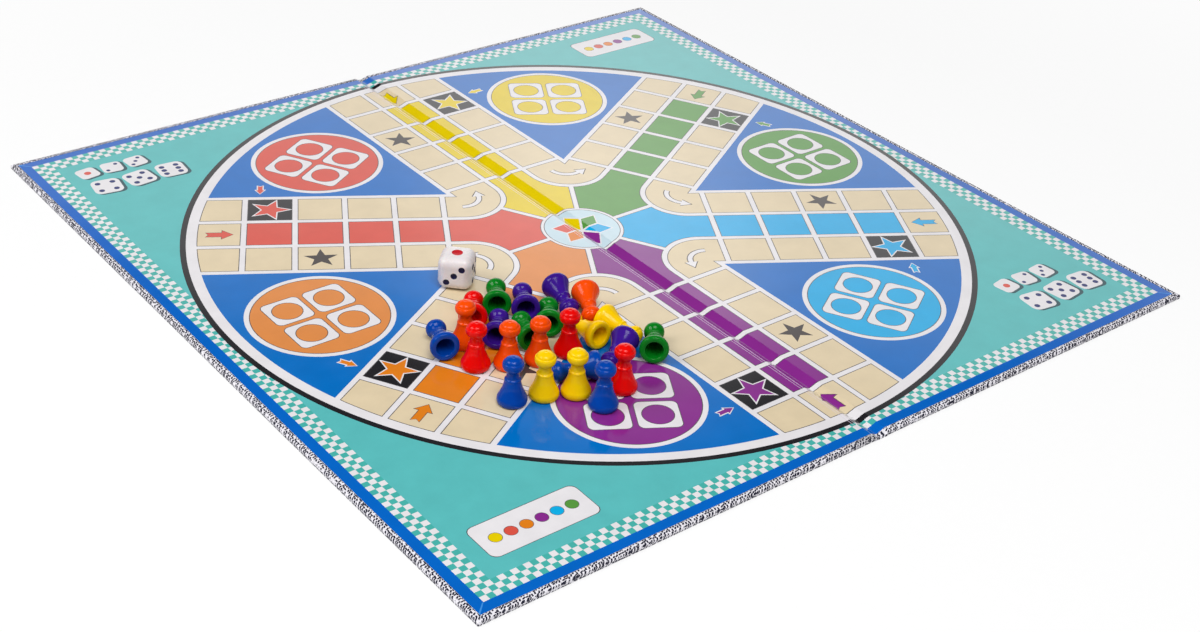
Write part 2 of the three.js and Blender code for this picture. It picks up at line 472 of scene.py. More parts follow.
@dataclass(frozen=True)
class BarePaper(FibrousStock):
    """Bare white paper, as it shows at the cut edge and back of the printed sheet."""

    name: str = "uncoated_white_paper"
    pale: str = "#ECEAE6"
    dark: str = "#D9D5CE"
    fibres: Grain = Grain(0.3, 4.0)
    roughness: float = 0.8
    depth_mm: float = 0.02
    strength: float = 0.6


@dataclass(frozen=True)
class Greyboard(FibrousStock):
    """Pressed recycled greyboard: matt, flecked with fibres, with faint layers at its cut edge."""

    name: str = "pressed_greyboard"
    pale: str = "#B3A999"
    dark: str = "#8B8072"
    fibres: Grain = Grain(0.9, 5.0, 0.7)
    roughness: float = 0.92
    depth_mm: float = 0.06
    strength: float = 0.8
    layer_mm: float | None = 0.25


@dataclass(frozen=True)
class MouldedPlastic(Finish):
    """Moulded plastic, polystyrene or urea: glossy, evenly dyed, with slow flow marks in its skin."""

    colour: str
    shadow: str
    roughness: float = 0.16
    ior: float = 1.55
    flow: Grain = Grain(5.0)
    flow_depth_mm: float = 0.016
    gloss: Grain = Grain(2.5)
    skin: Grain = Grain(0.5, 2.0)
    skin_depth_mm: float = 0.004
    sheen: float = 0.2
    subsurface: float = 0.0

    def shade(self, tree: bpy.types.NodeTree) -> Feeds:
        """Feeds the dye, the uneven gloss and the flow marks under a fine grain.

        Args:
            tree: The material's tree.

        Returns:
            The feeds of the shader.
        """
        add = partial(add_node, tree)
        flow = self.flow.pattern(tree)
        share = self.flow.between(tree, (0.0, 0.6), flow)
        dye = {0: share, 6: linear(self.colour), 7: linear(self.shadow)}
        gloss = (self.roughness * 0.75, self.roughness * 1.4)
        marks = add("ShaderNodeBump", {"Height": flow, "Distance": self.flow_depth_mm * MM})
        skin = {"Height": self.skin.pattern(tree), "Distance": self.skin_depth_mm * MM}
        return {
            "IOR": self.ior,
            "Specular IOR Level": self.sheen,
            "Subsurface Weight": self.subsurface,
            "Subsurface Radius": (1.0, 0.6, 0.4),
            "Subsurface Scale": 0.8 * MM,
            "Base Color": add("ShaderNodeMix", dye, data_type="RGBA"),
            "Roughness": self.gloss.between(tree, gloss),
            "Normal": add("ShaderNodeBump", skin | {"Strength": 0.6, "Normal": marks}),
        }


@dataclass(frozen=True)
class PipPaint(Finish):
    """Brushed-in enamel at the bottom of a pip: half gloss, slightly uneven."""

    colour: str
    thin: str
    coat: Grain = Grain(0.7)

    def shade(self, tree: bpy.types.NodeTree) -> Feeds:
        """Feeds the uneven coat, in colour and in height.

        Args:
            tree: The material's tree.

        Returns:
            The feeds of the shader.
        """
        coat = self.coat.pattern(tree)
        share = self.coat.between(tree, (0.0, 0.8), coat)
        tones = {0: share, 6: linear(self.colour), 7: linear(self.thin)}
        relief = {"Height": coat, "Distance": 0.05 * MM, "Strength": 0.7}
        return {
            "Roughness": 0.3,
            "IOR": 1.5,
            "Specular IOR Level": 0.15,
            "Base Color": add_node(tree, "ShaderNodeMix", tones, data_type="RGBA"),
            "Normal": add_node(tree, "ShaderNodeBump", relief),
        }


# Plane outlines


def turned(points: Iterable[Point], degrees: float, at: Point = (0.0, 0.0)) -> Outline:
    """Turns an outline about the origin and moves it to a place.

    Args:
        points: The outline.
        degrees: The turn, counter-clockwise.
        at: Where the origin goes.

    Returns:
        The turned outline.
    """
    c, s = math.cos(math.radians(degrees)), math.sin(math.radians(degrees))
    return [(x * c - y * s + at[0], x * s + y * c + at[1]) for x, y in points]


def arc(centre: Point, radius: float, start: float, end: float, steps: int) -> Outline:
    """Points along a circular arc.

    Args:
        centre: The arc's centre.
        radius: Its radius.
        start: Its first angle, in degrees.
        end: Its last angle, in degrees.
        steps: The number of chords.

    Returns:
        The points, both ends among them.
    """
    angles = [math.radians(start + (end - start) * i / steps) for i in range(steps + 1)]
    return [(centre[0] + radius * math.cos(a), centre[1] + radius * math.sin(a)) for a in angles]


def disc(centre: Point, radius: float, steps: int = 72) -> Outline:
    """A full circle as an outline."""
    return arc(centre, radius, 0.0, 360.0, steps)[:-1]


def rectangle(width: float, height: float, centre: Point = (0.0, 0.0)) -> Outline:
    """A rectangle about its centre.

    Args:
        width: The full width.
        height: The full height.
        centre: Its centre.

    Returns:
        The outline.
    """
    x, y = centre
    return [
        (x - width / 2, y - height / 2),
        (x + width / 2, y - height / 2),
        (x + width / 2, y + height / 2),
        (x - width / 2, y + height / 2),
    ]


def rounded_rectangle(width: float, height: float, radius: float, steps: int = 6) -> Outline:
    """A rectangle about the origin with round corners.

    Args:
        width: The full width.
        height: The full height.
        radius: The corner radius.
        steps: Chords in each corner.

    Returns:
        The outline.
    """
    made: Outline = []
    for i, (sx, sy) in enumerate(((1, 1), (-1, 1), (-1, -1), (1, -1))):
        centre = (sx * (width / 2 - radius), sy * (height / 2 - radius))
        made += arc(centre, radius, 90.0 * i, 90.0 * (i + 1), steps)
    return made


def star(outer: float, waist_share: float) -> Outline:
    """A five-pointed star about the origin with one point along X.

    Args:
        outer: The radius to its points.
        waist_share: The radius of its inner corners, as a share of that.

    Returns:
        The outline.
    """
    made: Outline = []
    for i in range(10):
        radius = outer * (1.0, waist_share)[i % 2]
        angle = math.radians(36 * i)
        made.append((radius * math.cos(angle), radius * math.sin(angle)))
    return made


def straight_arrow(
    length: float, shaft: float, head_width: float, head_length: float, notch: float
) -> Outline:
    """An arrow about the origin that points along X, with a notch in its tail.

    Args:
        length: From tail to tip.
        shaft: The width of its shaft.
        head_width: The width across its barbs.
        head_length: From the barbs to the tip.
        notch: The depth of the notch.

    Returns:
        The outline.
    """
    tail, tip = -length / 2, length / 2
    neck = tip - head_length
    return [
        (tail, -shaft / 2),
        (neck, -shaft / 2),
        (neck, -head_width / 2),
        (tip, 0.0),
        (neck, head_width / 2),
        (neck, shaft / 2),
        (tail, shaft / 2),
        (tail + notch, 0.0),
    ]


def bent_arrow(
    radius: float, shaft: float, head_width: float, head_length: float, start: float, end: float
) -> Outline:
    """An arrow bent along an arc about the origin, from one angle to another.

    Args:
        radius: The radius of the shaft's middle line.
        shaft: The width of the shaft.
        head_width: The width across the barbs.
        head_length: From the barbs to the tip.
        start: The angle of the tail, in degrees.
        end: The angle where the head begins, in degrees.

    Returns:
        The outline.
    """
    way = 1 if end > start else -1
    inner = arc((0.0, 0.0), radius - shaft / 2, start, end, 12)
    outer = arc((0.0, 0.0), radius + shaft / 2, end, start, 12)
    angle = math.radians(end)
    along = (-way * math.sin(angle), way * math.cos(angle))
    out = (math.cos(angle), math.sin(angle))
    barb_in = (out[0] * (radius - head_width / 2), out[1] * (radius - head_width / 2))
    barb_out = (out[0] * (radius + head_width / 2), out[1] * (radius + head_width / 2))
    tip = (out[0] * radius + along[0] * head_length, out[1] * radius + along[1] * head_length)
    return inner + [barb_in, tip, barb_out] + outer


# The printed design


PIP_SPOTS = {
    1: [(0, 0)],
    2: [(-1, -1), (1, 1)],
    3: [(-1, -1), (0, 0), (1, 1)],
    4: [(-1, -1), (-1, 1), (1, -1), (1, 1)],
    5: [(-1, -1), (-1, 1), (0, 0), (1, -1), (1, 1)],
    6: [(-1, -1), (-1, 0), (-1, 1), (1, -1), (1, 0), (1, 1)],
}


class Lane(Enum):
    """The six players' lanes: the compass angle of each and its ink."""

    YELLOW = (90.0, Ink.YELLOW)
    RED = (150.0, Ink.RED)
    ORANGE = (210.0, Ink.ORANGE)
    PURPLE = (270.0, Ink.PURPLE)
    LIGHT_BLUE = (330.0, Ink.LIGHT_BLUE)
    GREEN = (30.0, Ink.GREEN)

    @property
    def angle(self) -> float:
        """The direction of the lane from the middle, in degrees."""
        return self.value[0]

    @property
    def ink(self) -> Ink:
        """The player's ink."""
        return self.value[1]

    @property
    def field(self) -> Ink:
        """The ink of the lane's broad areas, which for orange is the paler one."""
        return Ink.APRICOT if self is Lane.ORANGE else self.ink

    def point(self, along: float, across: float) -> Point:
        """A place on the lane.

        Args:
            along: Distance from the middle of the board.
            across: Distance from the lane's middle line, clockwise.

        Returns:
            The place in the board's plane.
        """
        return turned([(along, -across)], self.angle)[0]

    def outline(self, points: Iterable[Point]) -> Outline:
        """Turns an outline written in (along, across) into the board's plane."""
        return [self.point(a, t) for a, t in points]


@dataclass
class PrintedDesign:
    """The inked shapes of the playing face, painted one over the other.

    A later shape covers an earlier one, as in a stack of cut papers.
    """

    print_half: float
    border: float = 4.3
    check_rows: int = 3
    checks_per_side: int = 133
    ring_outer: float = 167.3
    ring_middle: float = 164.9
    ring_inner: float = 160.6
    line: float = 2.2
    fine_line: float = 0.33
    column_line: float = 10.34
    outer_line: float = 30.9
    first_row: float = 57.7
    row_pitch: float = 21.0
    rows: int = 5
    turn_radius: float = 17.9
    hub_radius: float = 17.6
    spoke: float = 2.0
    base_distance: float = 128.1
    base_radius: float = 29.2
    base_rim: float = 2.0
    seat_size: float = 16.2
    seat_corner: float = 2.4
    seat_pitch: float = 18.5
    seat_spot: float = 6.2
    # Width and places across the fold of the two painted highlight lines at the fold's shoulder.
    crease_highlight_width: float = 0.17
    crease_highlight_lines: Point = (-5.05, -3.95)
    entry_arrow: float = 151.6
    pointer: Point = (135.6, 38.6)
    turn_arrow: float = 57.3
    dice_corner: Point = (137.0, 143.0)
    plate_corner: Point = (134.2, 147.6)
    shapes: list[tuple[Ink, Outline]] = field(default_factory=list)

    def paint(self, ink: Ink, outline: Outline) -> None:
        """Lays one inked shape over what is there, its outline run counter-clockwise.

        Args:
            ink: Its ink.
            outline: Its outline, run either way.
        """
        pairs = zip(outline, outline[1:] + outline[:1])
        area = sum(ax * by - bx * ay for (ax, ay), (bx, by) in pairs)
        self.shapes.append((ink, outline if area > 0 else outline[::-1]))

    def ruled(self, fill: Ink, outline: Outline, inner: Outline) -> None:
        """Lays a shape with a fine grey edge: the edge's outline first, then what it holds."""
        self.paint(Ink.LINE_GREY, outline)
        self.paint(fill, inner)

    def draw(self) -> None:
        """Paints the whole face."""
        self.paint_ground()
        self.paint_checks()
        self.paint_ring()
        for lane in Lane:
            self.paint_strip(lane)
        for lane in Lane:
            self.paint_cells(lane)
            self.paint_turn_cell(lane)
            self.paint_home(lane)
            self.paint_base(lane)
        self.paint_hub()
        self.paint_corners()
        self.paint_crease_highlights()

    def paint_crease_highlights(self) -> None:
        """Paints two fine pale lines at the fold's shoulder: a painted highlight of the creased film,
        which is a little whitened there too.
        """
        for x in self.crease_highlight_lines:
            length = 2 * (self.print_half - self.border)
            self.paint(Ink.CREASE_HIGHLIGHT, rectangle(self.crease_highlight_width, length, (x, 0.0)))

    def paint_ground(self) -> None:
        """Paints the blue border, a painted highlight along each corner's diagonal pleat, and the
        teal ground.
        """
        side = 2 * self.print_half
        self.paint(Ink.BORDER_BLUE, rectangle(side, side))
        inner = side / 2 - self.border
        corner = side / 2
        # Painted highlight: a paler sliver along each corner's diagonal, where the border's pleat
        # catches the light.
        pleat_highlight = [(inner, inner), (inner + 0.5, inner), (corner, corner - 0.9), (corner, corner)]
        for quarter in range(4):
            self.paint(Ink.SHEEN_BLUE, turned(pleat_highlight, 90.0 * quarter))
        self.paint(Ink.TEAL, rectangle(2 * inner, 2 * inner))

    def paint_checks(self) -> None:
        """Paints the chequered frame, white squares over a deeper teal."""
        count, rows = self.checks_per_side, self.check_rows
        outer = self.print_half - self.border
        pitch = 2 * outer / count
        self.paint(Ink.CHECK_TEAL, rectangle(2 * outer, 2 * outer))
        inner = 2 * (outer - rows * pitch)
        self.paint(Ink.TEAL, rectangle(inner, inner))
        for i in range(count):
            for j in range(count):
                framed = min(i, j, count - 1 - i, count - 1 - j) < rows
                if framed and (i + j) % 2 == 0:
                    centre = ((i + 0.5) * pitch - outer, (j + 0.5) * pitch - outer)
                    self.paint(Ink.WHITE, rectangle(pitch, pitch, centre))

    def paint_ring(self) -> None:
        """Paints the black and white rings and the blue field inside them."""
        self.paint(Ink.BLACK, disc((0.0, 0.0), self.ring_outer, 240))
        self.paint(Ink.WHITE, disc((0.0, 0.0), self.ring_middle, 240))
        self.paint(Ink.SECTOR_BLUE, disc((0.0, 0.0), self.ring_inner, 240))

    def paint_strip(self, lane: Lane) -> None:
        """Paints the white strip that a lane's cells lie on."""
        reach, half = self.ring_inner + self.fine_line, self.outer_line + self.line / 2
        self.paint(Ink.WHITE, lane.outline([(0, -half), (reach, -half), (reach, half), (0, half)]))

    def cell(self, row: int, column: int, inset: float) -> Outline:
        """The outline of one cell in (along, across).

        Args:
            row: 0 for the row next to the middle, to rows - 1 at the ring.
            column: -1, 0 or 1, where 1 is the clockwise one.
            inset: How far the outline lies inside the white lines.

        Returns:
            The outline, whose outer edge follows the ring in the last row.
        """
        gap = self.line / 2 + inset
        inner = self.first_row + row * self.row_pitch + gap
        if column == 0:
            low, high = -self.column_line + gap, self.column_line - gap
        else:
            ends = (column * (self.column_line + gap), column * (self.outer_line - gap))
            low, high = min(ends), max(ends)
        if row < self.rows - 1:
            outer = self.first_row + (row + 1) * self.row_pitch - gap
            return [(inner, low), (outer, low), (outer, high), (inner, high)]
        reach = self.ring_inner - inset
        steps = [low + (high - low) * i / 6 for i in range(7)]
        return [(inner, low)] + [(math.sqrt(reach**2 - t**2), t) for t in steps] + [(inner, high)]

    def paint_cells(self, lane: Lane) -> None:
        """Paints a lane's fifteen cells with their stars and arrows.

        Args:
            lane: The lane.
        """
        start, safe = (self.rows - 2, 1), (self.rows - 3, -1)
        for row in range(self.rows):
            for column in (-1, 0, 1):
                fill = Ink.BEIGE
                if column == 0 and row < self.rows - 1:
                    fill = lane.ink
                elif (row, column) == start:
                    fill = Ink.BLACK
                edge = lane.outline(self.cell(row, column, 0.0))
                held = lane.outline(self.cell(row, column, self.fine_line))
                self.ruled(fill, edge, held)
        side_column = (self.column_line + self.outer_line) / 2
        start_row = self.first_row + (start[0] + 0.5) * self.row_pitch
        place = lane.point(start_row, side_column)
        facing = lane.angle + 180.0
        self.paint(Ink.WHITE, turned(star(9.5, 0.42), facing, place))
        self.paint(lane.ink, turned(star(8.0, 0.42), facing, place))
        safe_row = self.first_row + (safe[0] + 0.5) * self.row_pitch
        upright = 18.0 if lane.angle > 200 else 62.5
        place = lane.point(safe_row, -side_column)
        self.paint(Ink.STAR_GREY, turned(star(7.3, 0.4), upright, place))
        for ink, grow in ((Ink.STAR_GREY, 0.25), (lane.ink, 0.0)):
            length, shaft, head = 11.2 + 2 * grow, 3.3 + 2 * grow, 4.5 + 2 * grow
            arrow = straight_arrow(length, shaft, 6.9 + 4 * grow, head, 1.3)
            self.paint(ink, turned(arrow, lane.angle + 180.0, lane.point(self.entry_arrow, 0.0)))
        pointer = lane.point(*self.pointer)
        for ink, grow in ((Ink.WHITE, 0.5), (lane.ink, 0.0)):
            length, shaft, head = 7.2 + 2 * grow, 2.0 + 2 * grow, 3.2 + 2 * grow
            small = straight_arrow(length, shaft, 3.6 + 3 * grow, head, 0.8)
            self.paint(ink, turned(small, lane.angle + 90.0, pointer))

    def turn_centre(self) -> float:
        """The distance from the middle to the centre of a turn cell's arc."""
        return self.column_line / math.sin(math.radians(30)) + 2 * self.turn_radius

    def turn_cell(self, inset: float) -> Outline:
        """The turn cell between two lanes, written with X along its own middle line.

        Args:
            inset: How far the outline lies inside the white lines.

        Returns:
            The outline.
        """
        gap = self.line / 2 + inset
        row = self.first_row - gap
        notch = (self.outer_line - gap) / math.sin(math.radians(30))
        upper = turned([(row, -self.column_line - gap), (row, -self.outer_line + gap)], 30.0)
        lower = turned([(row, self.outer_line - gap), (row, self.column_line + gap)], -30.0)
        radius = self.turn_radius - gap
        curve = arc((self.turn_centre(), 0.0), radius, -120.0, -240.0, 24)
        return upper + [(notch, 0.0)] + lower + curve

    def paint_turn_cell(self, lane: Lane) -> None:
        """Paints the rounded cell on the clockwise side of a lane, with its bent arrow.

        Args:
            lane: The lane.
        """
        facing = lane.angle - 30.0
        edge = turned(self.turn_cell(0.0), facing)
        self.ruled(Ink.BEIGE, edge, turned(self.turn_cell(self.fine_line), facing))
        place = turned([(self.turn_arrow, 0.0)], facing)[0]
        for ink, grow in ((Ink.STAR_GREY, 0.4), (Ink.WHITE, 0.0)):
            shaft, width, head = 2.0 + 2 * grow, 5.2 + 2.6 * grow, 4.4 + 1.8 * grow
            arrow = bent_arrow(8.0, shaft, width, head, 238.0 + grow, 140.0)
            mirrored = [(x, -y) for x, y in arrow]
            self.paint(ink, turned(mirrored, facing, place))

    def home(self, inset: float) -> Outline:
        """The wedge in a lane's ink between the first row and the hub, in (along, across).

        Args:
            inset: How far the outline lies inside the white lines.

        Returns:
            The outline.
        """
        gap = self.line / 2 + inset
        row = self.first_row - gap
        centre = turned([(self.turn_centre(), 0.0)], 30.0)[0]
        radius = self.turn_radius + gap
        spoke = self.spoke / 2 + inset
        swing = math.degrees(math.asin(spoke / radius))
        side = [(row, self.column_line - gap)]
        side += arc(centre, radius, 270.0, 210.0 + swing, 16)
        hub = self.hub_radius + inset
        lean = 30.0 - math.degrees(math.asin(spoke / hub))
        rim = arc((0.0, 0.0), hub, lean, -lean, 16)
        return side + rim + [(a, -t) for a, t in reversed(side)]

    def paint_home(self, lane: Lane) -> None:
        """Paints a lane's home wedge."""
        edge, held = self.home(0.0), self.home(self.fine_line)
        self.ruled(lane.field, lane.outline(edge), lane.outline(held))

    def paint_base(self, lane: Lane) -> None:
        """Paints a player's base: a rimmed disc with four seats for pawns.

        Args:
            lane: The player's lane.
        """
        facing = lane.angle - 30.0
        centre = turned([(self.base_distance, 0.0)], facing)[0]
        radius = self.base_radius
        self.paint(Ink.WHITE, disc(centre, radius))
        radius -= self.base_rim
        self.ruled(lane.field, disc(centre, radius), disc(centre, radius - self.fine_line))
        size, corner = self.seat_size, self.seat_corner
        for across in (-0.5, 0.5):
            for up in (-0.5, 0.5):
                offset = turned([(across * self.seat_pitch, up * self.seat_pitch)], facing)[0]
                place = (centre[0] + offset[0], centre[1] + offset[1])
                edge = rounded_rectangle(size + 0.6, size + 0.6, corner + 0.3)
                seat = rounded_rectangle(size, size, corner)
                self.ruled(Ink.WHITE, turned(edge, facing, place), turned(seat, facing, place))
                spot, held = self.seat_spot, self.seat_spot - 0.3
                self.ruled(lane.field, disc(place, spot, 40), disc(place, held, 40))

    def paint_hub(self) -> None:
        """Paints the middle: a pale disc with a wheel of the six players' inks."""
        self.paint(Ink.WHITE, disc((0.0, 0.0), self.hub_radius, 96))
        rim = self.hub_radius - 1.2
        self.ruled(Ink.SKY, disc((0.0, 0.0), rim, 96), disc((0.0, 0.0), rim - 0.3, 96))
        tip, waist = 13.6, 8.4
        for lane in Lane:
            for ink, share in ((Ink.WHITE, 1.0), (lane.ink, 0.86)):
                middle = tip / 2
                right, left = (turned([(waist, 0.0)], a)[0] for a in (-30.0, 30.0))
                kite = [(0.0, 0.0), right, (tip, 0.0), left]
                shrunk = [(middle + (x - middle) * share, y * share) for x, y in kite]
                self.paint(ink, turned(shrunk, lane.angle))

    def die_face(self, centre: Point, size: float, tilt: float, pips: int) -> None:
        """Paints a plain die face with a drop shadow, as an ornament.

        Args:
            centre: Where it goes.
            size: Its side.
            tilt: Its turn, in degrees.
            pips: The number that it shows.
        """
        corner = size * 0.24
        drop = (centre[0] + 0.9, centre[1] - 0.9)
        self.paint(Ink.SHADE, turned(rounded_rectangle(size + 0.5, size + 0.5, corner), tilt, drop))
        self.paint(Ink.WHITE, turned(rounded_rectangle(size, size, corner), tilt, centre))
        step = size * 0.26
        radius = size * (0.17 if pips == 1 else 0.1)
        for across, up in PIP_SPOTS[pips]:
            place = turned([(across * step, up * step)], tilt, centre)[0]
            self.paint(Ink.RED if pips == 1 else Ink.NAVY, disc(place, radius, 20))

    def paint_corners(self) -> None:
        """Paints the corner ornaments: die faces in two corners and spotted plates in two."""
        for side in (-1, 1):
            middle = (side * self.dice_corner[0], -side * self.dice_corner[1])
            for i, tilt in enumerate((8.0, -6.0, 5.0)):
                small = (middle[0] - 16.5 + 11.2 * i, middle[1] + 10.4)
                self.die_face(small, 9.0, tilt, i + 1)
                large = (middle[0] - 14.4 + 15.0 * i, middle[1] - 4.6)
                self.die_face(large, 12.4, -tilt, i + 4)
            plate = (side * self.plate_corner[0], side * self.plate_corner[1])
            for ink, grow in ((Ink.LINE_GREY, 0.5), (Ink.WHITE, 0.0)):
                outline = rounded_rectangle(44.6 + grow, 17.2 + grow, 3.0)
                self.paint(ink, turned(outline, 0.0, plate))
            for i, lane in enumerate(Lane):
                spot = (plate[0] + (i - 2.5) * 6.3, plate[1])
                self.ruled(lane.ink, disc(spot, 2.5, 28), disc(spot, 2.3, 28))


# Mesh helpers


def linked(name: str, data: bpy.types.ID) -> bpy.types.Object:
    """Makes an object of some data and links it to the scene.

    Args:
        name: The object's name.
        data: A mesh, a lamp or a camera.

    Returns:
        The object.
    """
    made = bpy.data.objects.new(name, data)
    bpy.context.scene.collection.objects.link(made)
    return made


def mesh_object(name: str, vertices: Sequence[Triple], faces: Faces) -> bpy.types.Object:
    """Makes an object from points in millimetres.

    Args:
        name: The piece's name.
        vertices: Its points.
        faces: Its faces, as lists of point numbers.

    Returns:
        The object, linked to the scene, at the origin.
    """
    mesh = bpy.data.meshes.new(name)
    mesh.from_pydata([[c * MM for c in v] for v in vertices], [], faces)
    mesh.validate()
    return linked(name, mesh)


@contextmanager
def shell_of(mesh: bpy.types.Mesh) -> Iterator[bmesh.types.BMesh]:
    """Lends a mesh as an editable shell and writes it back.

    Args:
        mesh: The mesh.

    Yields:
        The shell.
    """
    shell = bmesh.new()
    shell.from_mesh(mesh)
    yield shell
    shell.to_mesh(mesh)
    shell.free()


def baked(piece: bpy.types.Object) -> bpy.types.Mesh:
    """Gives an object's mesh with its modifiers in it."""
    graph = bpy.context.evaluated_depsgraph_get()
    return bpy.data.meshes.new_from_object(piece.evaluated_get(graph))


def smooth(mesh: bpy.types.Mesh, sharp_degrees: float) -> None:
    """Shades a mesh smooth and keeps its edges sharp past an angle.

    Args:
        mesh: The mesh.
        sharp_degrees: The angle.
    """
    mesh.polygons.foreach_set("use_smooth", [True] * len(mesh.polygons))
    mesh.set_sharp_from_angle(angle=math.radians(sharp_degrees))
    mesh.update()


def set_material(piece: bpy.types.Object, *materials: bpy.types.Material) -> None:
    """Gives an object its material slots.

    Args:
        piece: The object.
        materials: The materials, in order.
    """
    piece.data.materials.clear()
    for material in materials:
        piece.data.materials.append(material)


def report(piece: bpy.types.Object) -> None:
    """Says how many faces a finished piece has."""
    LOG.info("%s: %d faces", piece.name, len(piece.data.polygons))


# Printed sheet


class SheetPart(Enum):
    """The parts that the printed sheet is made in: one for each leaf and one for each slope."""

    LEFT_LEAF = "left_playing_face"
    LEFT_SLOPE = "left_gutter_slope"
    RIGHT_SLOPE = "right_gutter_slope"
    RIGHT_LEAF = "right_playing_face"


@dataclass
class PrintedSheet:
    """The laminated printed sheet, flat on the leaves and pressed down into the fold."""

    sizes: BoardSizes
    slope_steps: int = 20
    shoulder_share: float = 0.12
    floor_share: float = 0.16
    lap_setback: float = 0.1
    lap_bottom: float = 0.42
    lap_rise: float = 0.3
    bend_start: float = 1.3
    sharp_degrees: float = 12.0

    def slope_line(self, shoulder_x: float) -> list[Point]:
        """Points (x, z) down one slope, from its shoulder to the bottom of the valley.

        Args:
            shoulder_x: Where the slope begins.

        Returns:
            The points, both ends among them.
        """
        valley_x, valley_z = self.sizes.valley_x, self.sizes.valley_top
        run = valley_x - shoulder_x
        top = self.sizes.thickness
        knots = [
            (shoulder_x, top),
            (shoulder_x + run * self.shoulder_share, top),
            (valley_x - run * self.floor_share, valley_z),
            (valley_x, valley_z),
        ]
        made = []
        for i in range(self.slope_steps + 1):
            t = i / self.slope_steps
            weights = ((1 - t) ** 3, 3 * t * (1 - t) ** 2, 3 * t**2 * (1 - t), t**3)
            place = (sum(w * k[axis] for w, k in zip(weights, knots)) for axis in (0, 1))
            made.append(tuple(place))
        return made

    def profile(self) -> list[Point]:
        """The pressed fold as (x, z) points from the left leaf to the right one.

        Returns:
            The points.
        """
        left = self.slope_line(-self.sizes.leaf_edge)
        right = self.slope_line(self.sizes.leaf_edge)
        return left + right[-2::-1]

    def height(self, profile: list[Point], x: float) -> float:
        """The height of the printed face at a place across the fold.

        Args:
            profile: The fold's points.
            x: The place.

        Returns:
            The height above the table.
        """
        if x <= profile[0][0] or x >= profile[-1][0]:
            return self.sizes.thickness
        for (x0, z0), (x1, z1) in zip(profile, profile[1:]):
            if x <= x1:
                return z0 + (z1 - z0) * (x - x0) / (x1 - x0)
        return self.sizes.thickness

    def part_of(self, x: float) -> SheetPart:
        """Which part of the sheet a place across the fold belongs to.

        Args:
            x: The place.

        Returns:
            The part.
        """
        if x < -self.sizes.leaf_edge:
            return SheetPart.LEFT_LEAF
        if x < self.sizes.valley_x:
            return SheetPart.LEFT_SLOPE
        if x < self.sizes.leaf_edge:
            return SheetPart.RIGHT_SLOPE
        return SheetPart.RIGHT_LEAF

    def laps(self, part: SheetPart, profile: list[Point]) -> tuple[list[Triple], Faces]:
        """Shapes the turned-in cover paper that dips through the fold at the print's ends.

        Args:
            part: The slope that it lies on.
            profile: The fold's points.

        Returns:
            The vertices and faces, none for a part on a leaf.
        """
        valley = self.sizes.valley_x
        if part is SheetPart.LEFT_SLOPE:
            line = [p for p in profile if p[0] <= valley]
        elif part is SheetPart.RIGHT_SLOPE:
            line = [p for p in profile if p[0] >= valley]
        else:
            return [], []
        inner, outer = self.sizes.print_half, self.sizes.half - self.lap_setback
        vertices: list[Triple] = []
        faces: Faces = []
        for end in (1, -1):
            base = len(vertices)
            for x, z in line:
                top = max(z - self.sizes.paper, self.lap_bottom + self.sizes.paper)
                rim = end * outer
                bottom = self.lap_bottom + self.lap_rise * (abs(x) / self.sizes.leaf_edge) ** 3
                vertices += [(x, end * inner, top), (x, rim, top), (x, rim, bottom)]
            for i in range(len(line) - 1):
                a = base + 3 * i
                b = a + 3
                for quad in ([a, b, b + 1, a + 1], [a + 1, b + 1, b + 2, a + 2]):
                    faces.append(quad[::end])
        return vertices, faces

    def build(
        self, finish: bpy.types.Material, core: bpy.types.Material, cover: bpy.types.Material
    ) -> dict[SheetPart, bpy.types.Object]:
        """Cuts the design into faces, presses it over the fold and splits it at the bends.

        Args:
            finish: The laminated print.
            core: The bare paper at the sheet's edges and back.
            cover: The cover paper that dips through the fold with it.

        Returns:
            The four parts.
        """
        design = PrintedDesign(self.sizes.print_half)
        design.draw()
        reach = self.sizes.print_half
        points: list[Vector] = []
        faces: Faces = []
        for _, outline in design.shapes:
            faces.append(list(range(len(points), len(points) + len(outline))))
            points += [Vector(p) for p in outline]
        profile = self.profile()
        bends: list[tuple[int, int]] = []
        for x, _ in profile:
            bends.append((len(points), len(points) + 1))
            points += [Vector((x, -reach)), Vector((x, reach))]
        flat, _, cut, _, _, owners = delaunay_2d_cdt(points, bends, faces, 1, 1e-4)
        gathered: dict[SheetPart, list[tuple[Sequence[int], Ink]]] = {p: [] for p in SheetPart}
        for face, owner in zip(cut, owners):
            if not owner:
                continue
            middle = sum(flat[i].x for i in face) / len(face)
            gathered[self.part_of(middle)].append((face, design.shapes[max(owner)][0]))
        return {
            part: self.piece(part, rows, flat, profile, (finish, core, cover))
            for part, rows in gathered.items()
        }

